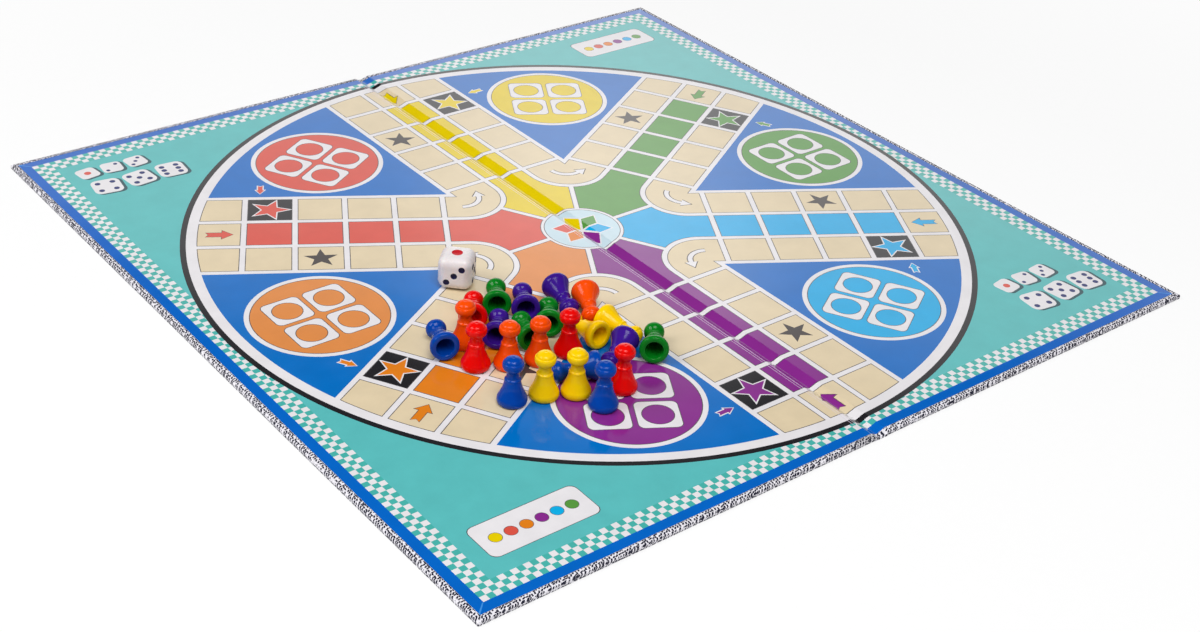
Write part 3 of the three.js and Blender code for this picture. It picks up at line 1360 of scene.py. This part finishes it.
    def piece(
        self,
        part: SheetPart,
        rows: list[tuple[Sequence[int], Ink]],
        flat: Sequence[Vector],
        profile: list[Point],
        finishes: Sequence[bpy.types.Material],
    ) -> bpy.types.Object:
        """Makes one part of the sheet with its ink as an attribute and the paper's thickness.

        Args:
            part: Which part it is.
            rows: Its faces in the plane and their inks.
            flat: The points of the plane.
            profile: The fold's points.
            finishes: The laminated print, the bare paper at its edges and back, and the cover.

        Returns:
            The piece.
        """
        number: dict[int, int] = {}
        vertices: list[Triple] = []
        faces: Faces = []
        for face, _ in rows:
            made = []
            for i in face:
                if i not in number:
                    number[i] = len(vertices)
                    x, y = flat[i]
                    vertices.append((x, y, self.height(profile, x)))
                made.append(number[i])
            faces.append(made)
        lap_vertices, lap_faces = self.laps(part, profile)
        faces += [[len(vertices) + i for i in face] for face in lap_faces]
        vertices += lap_vertices
        piece = mesh_object(part.value, vertices, faces)
        inks = piece.data.attributes.new("ink", "FLOAT_COLOR", "CORNER")
        values: list[float] = []
        for (face, ink), polygon in zip(rows, piece.data.polygons):
            values += list(linear(ink.value)) * polygon.loop_total
        values += [1.0] * (len(inks.data) * 4 - len(values))
        inks.data.foreach_set("color", values)
        set_material(piece, *finishes)
        for polygon in piece.data.polygons[len(rows) :]:
            polygon.material_index = 2
        sheet = piece.modifiers.new("paper_thickness", "SOLIDIFY")
        sheet.thickness = self.sizes.paper * MM
        sheet.offset = -1.0
        sheet.use_rim = True
        sheet.material_offset = 1
        sheet.material_offset_rim = 1
        solid = baked(piece)
        piece.modifiers.clear()
        piece.data = solid
        smooth(piece.data, self.sharp_degrees)
        return piece

    def attach(self, parts: dict[SheetPart, bpy.types.Object]) -> None:
        """Puts each leaf's part on its leaf and keeps the two slopes where they lie, with their
        transforms baked into their meshes.

        Args:
            parts: The four parts.
        """
        for part, node, body in (
            (SheetPart.LEFT_LEAF, "left_print_sheet", "left_leaf"),
            (SheetPart.RIGHT_LEAF, "right_print_sheet", "right_leaf"),
        ):
            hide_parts(node)
            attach(parts[part], body)
        left, right = parts[SheetPart.LEFT_SLOPE], parts[SheetPart.RIGHT_SLOPE]
        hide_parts("gutter_print_strip")
        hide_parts("gutter_print_strip")
        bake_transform(left)
        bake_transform(right)
        for piece in parts.values():
            report(piece)


# Cover paper


@dataclass
class CoverWrap:
    """The cover paper of one leaf: its back, rounded edges and turned-in strips with mitres."""

    side: int
    sizes: BoardSizes
    corner_radius: float = 0.5
    fold_radius: float = 0.45
    fold_steps: int = 4
    straight_step: float = 6.0
    hinge_gap: float = 0.03
    pucker_height: float = 0.16
    pucker_reach: float = 5.0
    corner_stops: tuple[float, ...] = (1.6, 2.5, 4.0, 7.0, 10.5, 14.0)
    depth_stops: tuple[float, ...] = (10.0, 6.0, 3.6, 2.4, 1.6, 1.0)
    sharp_degrees: float = 35.0

    @property
    def node(self) -> str:
        """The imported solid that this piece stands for."""
        return ("left" if self.side < 0 else "right") + "_cover_wrap"

    def section(self) -> list[Point]:
        """The paper's outer face across an edge, as (inward, height) from the turned-in end.

        Returns:
            The points, from the front of the leaf round to its back.
        """
        top = self.sizes.print_bottom
        radius = self.fold_radius
        inner = [self.sizes.turn_in, *self.depth_stops]
        line: list[Point] = [(d, top) for d in inner]
        for level, start in ((top - radius, 90.0), (radius, 0.0)):
            bend = arc((0.0, level), radius, start, start - 90.0, self.fold_steps)
            line += [(radius - x, z) for x, z in bend]
        line += [(d, 0.0) for d in reversed(inner)]
        return line

    def rail(self) -> Iterator[tuple[Point, Point, float]]:
        """Walks the leaf's three outer edges.

        Yields:
            A place on the edge, its inward direction, and how far in a section may reach there
            before it meets the mitre.
        """
        half, radius = self.sizes.half, self.corner_radius
        edge = self.sizes.leaf_edge
        legs = (
            ((edge, half), (half, half), (0.0, -1.0)),
            ((half, half), (half, -half), (-1.0, 0.0)),
            ((half, -half), (edge, -half), (0.0, 1.0)),
        )
        for number, (start, end, inward) in enumerate(legs):
            length = math.dist(start, end)
            near = radius if number > 0 else 0.0
            far = radius if number < 2 else 0.0
            stops = sorted(
                {near, length - far}
                | {s for s in self.corner_stops if number > 0}
                | {length - s for s in self.corner_stops if number < 2}
                | {
                    self.sizes.turn_in + i * self.straight_step
                    for i in range(1, int((length - 2 * self.sizes.turn_in) / self.straight_step))
                }
            )
            along = ((end[0] - start[0]) / length, (end[1] - start[1]) / length)
            for s in stops:
                reach = min(
                    s if number > 0 else math.inf,
                    length - s if number < 2 else math.inf,
                )
                yield (start[0] + along[0] * s, start[1] + along[1] * s), inward, reach
            if number < 2:
                pivot = (half - radius, half - radius if number == 0 else -half + radius)
                first = 90.0 - 90.0 * number
                for a in (first - 30.0, first - 60.0):
                    out = (math.cos(math.radians(a)), math.sin(math.radians(a)))
                    place = (pivot[0] + radius * out[0], pivot[1] + radius * out[1])
                    yield place, (-out[0], -out[1]), radius

    def pucker(self, place: Point, height: float) -> float:
        """Shapes the folded corner, which lifts the turned-in paper a little.

        Args:
            place: The place on the board.
            height: The height of the paper there.

        Returns:
            How far it lifts.
        """
        from_mitre = abs(abs(place[0]) - abs(place[1])) / math.sqrt(2)
        from_corner = math.hypot(self.sizes.half - abs(place[0]), self.sizes.half - abs(place[1]))
        if height < self.sizes.print_bottom - 0.01:
            return 0.0
        first, second = from_mitre / 0.7, (from_mitre - 2.1) / 0.5
        ridge = math.exp(-(first**2)) + 0.5 * math.exp(-(second**2))
        return self.pucker_height * ridge * math.exp(-((from_corner / self.pucker_reach) ** 2))

    def build(self, finish: bpy.types.Material) -> bpy.types.Object:
        """Sweeps the section round the leaf and closes its back.

        Args:
            finish: The cover paper.

        Returns:
            The piece, already on its leaf.
        """
        section = self.section()
        rows: Faces = []
        vertices: list[Triple] = []
        for place, inward, reach in self.rail():
            row = []
            for depth, height in section:
                d = min(depth, reach)
                x, y = place[0] + inward[0] * d, place[1] + inward[1] * d
                if x <= self.sizes.leaf_edge and height <= self.sizes.paper:
                    x = self.sizes.hinge + self.hinge_gap
                lift = self.pucker((x, y), height)
                row.append(len(vertices))
                vertices.append((self.side * x, y, height + lift))
            rows.append(row)
        faces = [
            [a[i], b[i], b[i + 1], a[i + 1]]
            for a, b in zip(rows, rows[1:])
            for i in range(len(section) - 1)
        ]
        faces.append([row[-1] for row in rows])
        piece = mesh_object(self.node.replace("wrap", "paper"), vertices, faces)
        with shell_of(piece.data) as shell:
            bmesh.ops.remove_doubles(shell, verts=shell.verts, dist=1e-3 * MM)
            bmesh.ops.dissolve_degenerate(shell, edges=shell.edges, dist=1e-4 * MM)
            back = max(shell.faces, key=lambda f: f.calc_area())
            if back.normal.z >= 0:
                bmesh.ops.reverse_faces(shell, faces=shell.faces)
        smooth(piece.data, self.sharp_degrees)
        set_material(piece, finish)
        sheet = piece.modifiers.new("paper_thickness", "SOLIDIFY")
        sheet.thickness = self.sizes.paper * MM
        sheet.offset = -1.0
        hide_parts(self.node)
        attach(piece, "left_leaf" if self.side < 0 else "right_leaf")
        report(piece)
        return piece


@dataclass
class StiffCore:
    """The greyboard leaves and the spine strip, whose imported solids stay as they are."""

    greyboard: bpy.types.Material
    cover: bpy.types.Material

    def dress(self) -> None:
        """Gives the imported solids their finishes."""
        for node in ("left_greyboard", "right_greyboard"):
            set_material(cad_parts[node], self.greyboard)
            report(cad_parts[node])
        set_material(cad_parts["spine_cover_strip"], self.cover)
        report(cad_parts["spine_cover_strip"])


# Pawns


class PawnColour(Enum):
    """The six colours of the pawns: the dye and its darker shade, in sRGB."""

    RED = ("#F00603", "#DC0402")
    ORANGE = ("#FA5002", "#EC4400")
    YELLOW = ("#FFD300", "#F6C000")
    GREEN = ("#04801C", "#036C16")
    BLUE = ("#0045AA", "#003894")
    PURPLE = ("#3C1690", "#300F78")

    @property
    def word(self) -> str:
        """The colour's word in the names of its pieces."""
        return self.name.lower()

    def finish(self) -> bpy.types.Material:
        """The moulded plastic of this colour."""
        return MouldedPlastic(self.word + "_moulded_polystyrene", *self.value).material()


@dataclass(frozen=True)
class PawnPlace:
    """Where one pawn's base lies from the pile's centre, in pile units, and its head's turn."""

    east: float
    north: float
    head: float | None = None


# Each pawn of the pile as a PawnPlace. One without a turn stands, and the others lie.
PILE: dict[PawnColour, tuple[tuple[float, ...], ...]] = {
    PawnColour.RED: ((-2.5, 0.79), (0.54, -0.22), (0.73, -2.86), (-1.37, 2.6, 54)),
    PawnColour.ORANGE: ((-1.56, 0.26), (-0.56, -0.07), (-2.04, 2.08), (2.94, 2.02, -118)),
    PawnColour.YELLOW: ((-1.64, -1.79), (-0.7, -2.25), (1.56, -0.61, 92), (2.38, 0.36, -77)),
    PawnColour.GREEN: ((-0.2, 2.84, 56), (2.51, -2.29, 50), (-0.43, 0.46, 70), (0.55, 0.89, 54)),
    PawnColour.BLUE: ((-2.68, -1.49), (-0.4, -3.29), (-3.14, 1.6, 69), (0.51, -1.94, 154)),
    PawnColour.PURPLE: ((2.3, 2.94, -105), (0.46, 2.07, 59), (-1.37, 1.24, 51), (2.28, -1.11, -150)),
}


@dataclass
class PawnSet:
    """The hollow moulded pawns, all turned from one outline by a Geometry Nodes tree."""

    sizes: BoardSizes
    base_diameter: float = 11.4
    height: float = 19.2
    seat_gap: float = 0.3
    sides: int = 72
    pile_unit: float = 11.4048
    pile_centre_shares: Point = (-0.393, -0.4)
    rim_shares: Point = (1.0, 0.07)
    head_shares: Point = (0.7, 0.84)

    def outline(self) -> list[Point]:
        """The pawn's outline from the top of its hollow, round the rim, to the crown.

        Returns:
            Points as shares of the base radius and of the height, rounded between corners.
        """
        stretches = (
            [(0.0, 0.578), (0.12, 0.57), (0.22, 0.535), (0.3, 0.46), (0.57, 0.11), (0.6, 0.04)],
            [(0.6, 0.04), (0.615, 0.012), (0.66, 0.0)],
            [(0.66, 0.0), (0.88, 0.0)],
            [(0.88, 0.0), (0.95, 0.014), (1.0, 0.07), (0.972, 0.128), (0.9, 0.172), (0.79, 0.243)],
            [(0.79, 0.243), (0.66, 0.335), (0.575, 0.43), (0.535, 0.5)],
            [(0.535, 0.5), (0.542, 0.516), (0.52, 0.538), (0.455, 0.555)],
            [(0.455, 0.555), (0.425, 0.59), (0.415, 0.64), (0.435, 0.69), (0.52, 0.725)],
            [(0.52, 0.725), (0.63, 0.76), (0.69, 0.8), (0.7, 0.84), (0.692, 0.872), (0.66, 0.896)],
            [(0.66, 0.896), (0.61, 0.903), (0.585, 0.914)],
            [(0.585, 0.914), (0.54, 0.942), (0.42, 0.974), (0.2, 0.995), (0.12, 0.999)],
            [(0.12, 0.999), (0.06, 0.994), (0.0, 0.992)],
        )
        made: list[Point] = []
        for stretch in stretches:
            ends = [stretch[0], *stretch, stretch[-1]]
            for i in range(len(stretch) - 1):
                a, b, c, d = ends[i : i + 4]
                steps = 1 if len(stretch) == 2 else 3
                for j in range(steps):
                    t = j / steps
                    weights = (
                        -0.5 * t + t * t - 0.5 * t**3,
                        1 - 2.5 * t * t + 1.5 * t**3,
                        0.5 * t + 2 * t * t - 1.5 * t**3,
                        -0.5 * t * t + 0.5 * t**3,
                    )
                    near = (a, b, c, d)
                    made.append(tuple(sum(w * p[k] for w, p in zip(weights, near)) for k in (0, 1)))
        made.append(stretches[-1][-1])
        return made

    def turning_tree(self) -> bpy.types.GeometryNodeTree:
        """Builds the tree that turns an outline into a pawn and lays it in its place.

        Returns:
            The tree. Its inputs are the outline's point count, the sides, the radius, the
            height, the place, the turn and the material.
        """
        tree = bpy.data.node_groups.new("turned_pawn", "GeometryNodeTree")
        face = tree.interface
        for name, kind in (
            ("Outline", "Geometry"),
            ("Outline Points", "Int"),
            ("Sides", "Int"),
            ("Base Radius", "Float"),
            ("Height", "Float"),
            ("Place", "Vector"),
            ("Turn", "Rotation"),
            ("Finish", "Material"),
        ):
            face.new_socket(name, in_out="INPUT", socket_type="NodeSocket" + kind)
        face.new_socket("Pawn", in_out="OUTPUT", socket_type="NodeSocketGeometry")
        add = partial(add_node, tree)
        given = add("NodeGroupInput").outputs
        count, sides = given["Outline Points"], given["Sides"]
        columns = add("ShaderNodeMath", {0: sides, 1: 1.0}, operation="ADD")
        grid = add("GeometryNodeMeshGrid", {"Vertices X": columns, "Vertices Y": count})
        number = add("GeometryNodeInputIndex")
        step = add("ShaderNodeMath", {0: number, 1: count}, operation="MODULO")
        line = {"Geometry": given["Outline"], "Value": add("GeometryNodeInputPosition")}
        sample = add(
            "GeometryNodeSampleIndex",
            line | {"Index": step},
            data_type="FLOAT_VECTOR",
            domain="POINT",
        )
        parts = add("ShaderNodeSeparateXYZ", {"Vector": sample}).outputs
        out = add("ShaderNodeMath", {0: parts["X"], 1: given["Base Radius"]}, operation="MULTIPLY")
        up = add("ShaderNodeMath", {0: parts["Z"], 1: given["Height"]}, operation="MULTIPLY")
        point = add("ShaderNodeCombineXYZ", {"X": out, "Z": up})
        column = add("ShaderNodeMath", {0: number, 1: count}, operation="DIVIDE")
        whole = add("ShaderNodeMath", {0: column}, operation="FLOOR")
        side = add("ShaderNodeMath", {0: whole, 1: sides}, operation="MODULO")
        share = add("ShaderNodeMath", {0: side, 1: sides}, operation="DIVIDE")
        angle = add("ShaderNodeMath", {0: share, 1: math.tau}, operation="MULTIPLY")
        swing = {"Vector": point, "Angle": angle}
        swung = add("ShaderNodeVectorRotate", swing, rotation_type="Z_AXIS")
        shape = grid.outputs["Mesh"]
        for kind, feeds in (
            ("SetPosition", {"Position": swung}),
            ("MergeByDistance", {"Distance": 1e-3 * MM}),
            ("Transform", {"Translation": given["Place"], "Rotation": given["Turn"]}),
            ("SetShadeSmooth", {}),
            ("RealizeInstances", {}),
            ("SetMaterial", {"Material": given["Finish"]}),
        ):
            shape = add("GeometryNode" + kind, {"Geometry": shape, **feeds})
        add("NodeGroupOutput", {0: shape})
        return tree

    def pose(self, place: PawnPlace) -> tuple[Vector, Euler]:
        """Where a pawn's base centre is and how the pawn is turned.

        Args:
            place: Its place in the pile.

        Returns:
            The place in metres and the turn.
        """
        ground = self.sizes.thickness + self.seat_gap
        x = self.pile_centre_shares[0] * self.sizes.half + place.east * self.pile_unit
        y = self.pile_centre_shares[1] * self.sizes.half + place.north * self.pile_unit
        if place.head is None:
            return Vector((x, y, ground)) * MM, Euler((0.0, 0.0, 0.0))
        radius = self.base_diameter / 2
        drop = (self.rim_shares[0] - self.head_shares[0]) * radius
        run = (self.head_shares[1] - self.rim_shares[1]) * self.height
        tip = math.atan2(drop, run)
        rise = self.rim_shares[1] * self.height * math.sin(tip) + radius * math.cos(tip)
        turn = Euler((0.0, math.pi / 2 + tip, math.radians(place.head)))
        return Vector((x, y, ground + rise)) * MM, turn

    def build(self) -> list[bpy.types.Object]:
        """Turns every pawn, each a plain mesh of its own on its own body.

        Returns:
            The pawns.
        """
        outline = self.outline()
        tree = self.turning_tree()
        socket = {
            item.name: item.identifier
            for item in tree.interface.items_tree
            if item.in_out == "INPUT"
        }
        line = mesh_object("pawn_outline", [(r / MM, 0.0, z / MM) for r, z in outline], [])
        made = []
        for colour, places in PILE.items():
            finish = colour.finish()
            for number, place in enumerate(places, start=1):
                where, turn = self.pose(PawnPlace(*place))
                modifier = line.modifiers.new("turning", "NODES")
                modifier.node_group = tree
                modifier[socket["Outline Points"]] = len(outline)
                modifier[socket["Sides"]] = self.sides
                modifier[socket["Base Radius"]] = self.base_diameter / 2 * MM
                modifier[socket["Height"]] = self.height * MM
                modifier[socket["Place"]] = tuple(where)
                modifier[socket["Turn"]] = tuple(turn)
                modifier[socket["Finish"]] = finish
                made.append(self.bake(line, colour, number))
                line.modifiers.remove(modifier)
        bpy.data.objects.remove(line)
        return made

    def bake(self, line: bpy.types.Object, colour: PawnColour, number: int) -> bpy.types.Object:
        """Turns the tree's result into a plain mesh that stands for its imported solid.

        Args:
            line: The outline object with the tree on it.
            colour: The pawn's colour.
            number: Its number in that colour.

        Returns:
            The pawn.
        """
        mesh = baked(line)
        node = f"pawn_{colour.word}_{number}"
        mesh.name = node + "_moulding"
        pawn = linked(mesh.name, mesh)
        with shell_of(mesh) as shell:
            bmesh.ops.recalc_face_normals(shell, faces=shell.faces)
        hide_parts(node)
        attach(pawn, node)
        report(pawn)
        return pawn


# Die


@dataclass
class Die:
    """The moulded die: heavily rounded, with dished and painted pips."""

    side: float = 14.0
    corner_radius: float = 3.6
    round_steps: int = 8
    turn: float = -45.0
    pip_diameter: float = 2.7
    ace_diameter: float = 4.5
    pip_depth: float = 0.5
    pip_pitch: float = 3.1
    pip_sides: int = 28
    sharp_degrees: float = 32.0

    def centre(self) -> Vector:
        """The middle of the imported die, in metres."""
        low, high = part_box("die")
        return (low + high) / 2

    def blank(self) -> bpy.types.Object:
        """Makes the rounded cube about the origin.

        Returns:
            The blank.
        """
        half, flat = self.side / 2, self.side / 2 - self.corner_radius
        bends = [
            flat + self.corner_radius * math.tan(math.radians(45 * i / self.round_steps))
            for i in range(self.round_steps + 1)
        ]
        stops = [-b for b in reversed(bends)] + bends
        count = len(stops)
        vertices: list[Triple] = []
        faces: Faces = []
        turns = [
            Matrix.Rotation(a, 3, axis)
            for a, axis in (
                (0.0, "Z"),
                (math.pi, "X"),
                (math.pi / 2, "X"),
                (-math.pi / 2, "X"),
                (math.pi / 2, "Y"),
                (-math.pi / 2, "Y"),
            )
        ]
        for turn in turns:
            first = len(vertices)
            for y in stops:
                for x in stops:
                    skin = Vector((x, y, half))
                    core = Vector([max(-flat, min(flat, c)) for c in skin])
                    out = (skin - core).normalized() * self.corner_radius
                    vertices.append(tuple(turn @ (core + out)))
            for j in range(count - 1):
                for i in range(count - 1):
                    a = first + j * count + i
                    faces.append([a, a + 1, a + count + 1, a + count])
        blank = mesh_object("die_moulding", vertices, faces)
        with shell_of(blank.data) as shell:
            bmesh.ops.remove_doubles(shell, verts=shell.verts, dist=1e-3 * MM)
            bmesh.ops.recalc_face_normals(shell, faces=shell.faces)
        return blank

    def dishes(self, finishes: Sequence[bpy.types.Material]) -> bpy.types.Object:
        """Makes the cutters of all the pips as one mesh of separate round dishes.

        Args:
            finishes: The die's plastic, the paint of its ace and that of its other pips.

        Returns:
            The cutter, whose faces name the paint of the dish that they cut.
        """
        leans = {1: (0, 0), 6: (2, 0), 3: (1, 0), 4: (1, 2), 5: (1, 1), 2: (1, -1)}
        vertices: list[Triple] = []
        faces: Faces = []
        paints: list[int] = []
        for value, places in PIP_SPOTS.items():
            lean, swing = leans[value]
            turn = Matrix.Rotation(swing * math.pi / 2, 3, "Z") @ Matrix.Rotation(
                lean * math.pi / 2, 3, "X"
            )
            radius = (self.ace_diameter if value == 1 else self.pip_diameter) / 2
            for across, up in places:
                at = Vector((across * self.pip_pitch, up * self.pip_pitch, self.side / 2))
                made = self.dish(radius, at, turn, len(vertices))
                vertices += made[0]
                faces += made[1]
                paints += [1 if value == 1 else 2] * len(made[1])
        cutter = mesh_object("pip_cutter", vertices, faces)
        with shell_of(cutter.data) as shell:
            bmesh.ops.recalc_face_normals(shell, faces=shell.faces)
        set_material(cutter, *finishes)
        cutter.data.polygons.foreach_set("material_index", paints)
        return cutter

    def dish(
        self, radius: float, at: Vector, turn: Matrix, first: int
    ) -> tuple[list[Triple], Faces]:
        """Makes one round dish whose mouth lies on the die's face.

        Args:
            radius: The radius of its mouth.
            at: Its centre on the top face.
            turn: The turn that takes the top face to its own face.
            first: The number of its first point.

        Returns:
            Its points and faces.
        """
        rounds = [
            (radius * math.sin(math.radians(a)), -self.pip_depth * math.cos(math.radians(a)))
            for a in (22, 45, 66, 90)
        ] + [(radius * 1.02, 0.5)]
        points = [at + Vector((0.0, 0.0, -self.pip_depth))]
        for reach, level in rounds:
            for i in range(self.pip_sides):
                a = math.tau * i / self.pip_sides
                points.append(at + Vector((reach * math.cos(a), reach * math.sin(a), level)))
        faces = []
        n = self.pip_sides
        for i in range(n):
            faces.append([first, first + 1 + i, first + 1 + (i + 1) % n])
        for k in range(len(rounds) - 1):
            for i in range(n):
                a, b = first + 1 + k * n + i, first + 1 + k * n + (i + 1) % n
                faces.append([a, b, b + n, a + n])
        faces.append([first + 1 + (len(rounds) - 1) * n + i for i in range(n)])
        return [tuple(turn @ p) for p in points], faces

    def build(self) -> bpy.types.Object:
        """Cuts and paints the pips and sets the die in its place.

        Returns:
            The die.
        """
        body = MouldedPlastic(
            "white_moulded_urea", "#E9E3E4", "#E1DADB", roughness=0.24, sheen=0.4, subsurface=0.1
        ).material()
        red = PipPaint("red_pip_enamel", "#B8101C", "#D0303A").material()
        dark = PipPaint("dark_pip_enamel", "#141232", "#2A2850").material()
        blank, cutter = self.blank(), self.dishes((body, red, dark))
        set_material(blank, body, red, dark)
        cut = blank.modifiers.new("pips", "BOOLEAN")
        cut.operation = "DIFFERENCE"
        cut.solver = "EXACT"
        cut.object = cutter
        mesh = baked(blank)
        bpy.data.objects.remove(cutter)
        bpy.data.objects.remove(blank)
        turn = Matrix.Rotation(math.radians(self.turn), 4, "Z")
        mesh.transform(Matrix.Translation(self.centre()) @ turn)
        smooth(mesh, self.sharp_degrees)
        die = linked("die_moulding", mesh)
        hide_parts("die")
        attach(die, "die")
        report(die)
        return die


# Studio


@dataclass
class Studio:
    """A plain pale floor, soft lamps, a bright backdrop for reflections, and the camera."""

    camera_place: Triple = (-0.4204, -0.5108, 0.3730)
    camera_right: Triple = (0.78461, -0.61709, 0.05986)
    camera_forward: Triple = (0.54853, 0.64595, -0.53090)
    image_width: float = 1200.0
    focal_pixels: float = 1777.5
    sensor_mm: float = 36.0
    clip_span: Point = (0.01, 20.0)
    floor_side: float = 6.0
    floor_drop_mm: float = 0.05
    floor_fade: Point = (0.28, 0.6)
    floor_levels: Point = (0.75, 1.0)
    ambient: float = 0.28
    glare_azimuth: float = 49.5
    glare_rise: float = 30.0
    glare_span: Point = (0.991, 0.9995)
    glare_gain: float = 0.8
    lamps: tuple[tuple[str, Triple, float, float], ...] = (
        ("overhead_softbox", (-0.35, -0.65, 1.4), 0.9, 15.0),
        ("left_softbox", (-1.0, 0.35, 1.0), 0.7, 7.2),
    )

    def floor(self) -> bpy.types.Object:
        """Lays the pale floor just under the board, which fades to plain white far from it.

        Returns:
            The floor.
        """
        material = bpy.data.materials.new("matt_white_studio_floor")
        material.use_nodes = True
        material.node_tree.nodes.clear()
        add = partial(add_node, material.node_tree)
        speck = Grain(4.0).between(material.node_tree, (0.93, 0.95))
        tint = add("ShaderNodeCombineColor", {"Red": speck, "Green": speck, "Blue": speck})
        matt = add("ShaderNodeBsdfDiffuse", {"Color": tint})
        glow = add("ShaderNodeEmission", {"Color": (1.0, 1.0, 1.0, 1.0), "Strength": 1.0})
        place = add("ShaderNodeTexCoord").outputs["Object"]
        away = add("ShaderNodeVectorMath", {0: place}, operation="LENGTH")
        (near, far), (low, high) = self.floor_fade, self.floor_levels
        spread = add("ShaderNodeMapRange", {"Value": away, 1: near, 2: far, 3: low, 4: high})
        seen = add("ShaderNodeLightPath").outputs["Is Camera Ray"]
        share = add("ShaderNodeMath", {0: seen, 1: spread}, operation="MULTIPLY")
        mixed = add("ShaderNodeMixShader", {0: share, 1: matt, 2: glow})
        add("ShaderNodeOutputMaterial", {"Surface": mixed})
        side = self.floor_side / MM
        corners = [(x, y, -self.floor_drop_mm) for x, y in rectangle(side, side)]
        floor = mesh_object("studio_floor", corners, [[0, 1, 2, 3]])
        set_material(floor, material)
        return floor

    def world(self) -> None:
        """Builds the surroundings: an even white light, and for reflections a backdrop.

        The backdrop is white up to a third of the way to overhead, brightest beyond the board as
        the camera sees it, and dark above.
        """
        world = bpy.data.worlds.new("soft_white_studio")
        bpy.context.scene.world = world
        world.use_nodes = True
        world.node_tree.nodes.clear()
        add = partial(add_node, world.node_tree)
        direction = add("ShaderNodeTexCoord").outputs["Generated"]
        height = add("ShaderNodeSeparateXYZ", {"Vector": direction}).outputs["Z"]
        azimuth, rise = math.radians(self.glare_azimuth), math.radians(self.glare_rise)
        beyond = (math.cos(azimuth), math.sin(azimuth), 0.0)
        peak = (beyond[0] * math.cos(rise), beyond[1] * math.cos(rise), math.sin(rise))
        facing, near_peak = (
            add("ShaderNodeVectorMath", {0: direction, 1: way}, operation="DOT_PRODUCT")
            for way in (beyond, peak)
        )
        low, side, middle, floor_near, narrow, hot = (
            add(
                "ShaderNodeMapRange",
                {"Value": value, 1: start, 2: end, 3: first, 4: last},
                interpolation_type="SMOOTHSTEP",
            )
            for value, (start, end), (first, last) in (
                (height, (0.49, 0.56), (1.0, 0.0)),
                (facing, (-0.1, 0.6), (0.1, 0.85)),
                (facing, (0.84, 0.93), (0.0, 0.7)),
                (height, (0.3, 0.38), (1.0, 0.0)),
                (facing, (0.9, 0.96), (0.2, 1.0)),
                (near_peak, self.glare_span, (0.03, self.glare_gain)),
            )
        )
        wide = add("ShaderNodeMath", {0: side, 1: middle}, operation="ADD")
        backdrop = add("ShaderNodeMath", {0: low, 1: wide}, operation="MULTIPLY")
        nearby = add("ShaderNodeMix", {0: floor_near, 2: 1.0, 3: narrow}, data_type="FLOAT")
        dimmed = add("ShaderNodeMath", {0: backdrop, 1: nearby}, operation="MULTIPLY")
        shine = add("ShaderNodeMath", {0: dimmed, 1: hot}, operation="ADD")
        path = add("ShaderNodeLightPath").outputs
        glossy = {0: path["Is Glossy Ray"], 2: self.ambient, 3: shine}
        seen = {0: path["Is Camera Ray"], 2: add("ShaderNodeMix", glossy), 3: 1.0}
        light = {"Color": (1.0, 1.0, 1.0, 1.0), "Strength": add("ShaderNodeMix", seen)}
        add("ShaderNodeOutputWorld", {"Surface": add("ShaderNodeBackground", light)})

    def lamp(self, name: str, place: Triple, size: float, watts: float) -> bpy.types.Object:
        """Hangs one round soft lamp aimed at the board.

        Args:
            name: The lamp's name.
            place: Where it hangs, in metres.
            size: Its diameter, in metres.
            watts: Its power.

        Returns:
            The lamp.
        """
        data = bpy.data.lights.new(name, "AREA")
        data.shape = "DISK"
        data.size = size
        data.energy = watts
        lamp = linked(name, data)
        lamp.location = place
        lamp.rotation_euler = (-Vector(place)).to_track_quat("-Z", "Y").to_euler()
        return lamp

    def camera(self) -> bpy.types.Object:
        """Sets the camera where the photograph was taken from.

        Returns:
            The camera.
        """
        right = Vector(self.camera_right).normalized()
        back = -Vector(self.camera_forward).normalized()
        up = back.cross(right).normalized()
        right = up.cross(back).normalized()
        turn = Matrix((right, up, back)).transposed()
        data = bpy.data.cameras.new("photo_camera")
        data.sensor_fit = "HORIZONTAL"
        data.sensor_width = self.sensor_mm
        data.lens = self.sensor_mm * self.focal_pixels / self.image_width
        data.clip_start, data.clip_end = self.clip_span
        camera = linked("photo_camera", data)
        camera.matrix_world = Matrix.Translation(self.camera_place) @ turn.to_4x4()
        bpy.context.scene.camera = camera
        return camera

    def build(self) -> None:
        """Sets up the whole studio."""
        bpy.context.scene.view_settings.view_transform = "Standard"
        self.floor()
        self.world()
        for name, place, size, watts in self.lamps:
            self.lamp(name, place, size, watts)
        self.camera()
        LOG.info("studio: floor, surroundings, two lamps and the camera")


# Main


def main() -> None:
    """Builds the board, its pawns, its die and the studio."""
    logging.basicConfig(level=logging.INFO, format="%(name)s: %(message)s")
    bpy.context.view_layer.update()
    sizes = BoardSizes.from_frame()
    LOG.info("sizes: %s", sizes)
    cover = CoverPaper().material()
    StiffCore(Greyboard().material(), cover).dress()
    sheet = PrintedSheet(sizes)
    sheet.attach(sheet.build(LaminatedPrint().material(), BarePaper().material(), cover))
    for side in (-1, 1):
        CoverWrap(side, sizes).build(cover)
    PawnSet(sizes).build()
    Die().build()
    Studio().build()


if __name__ == "__main__":
    main()
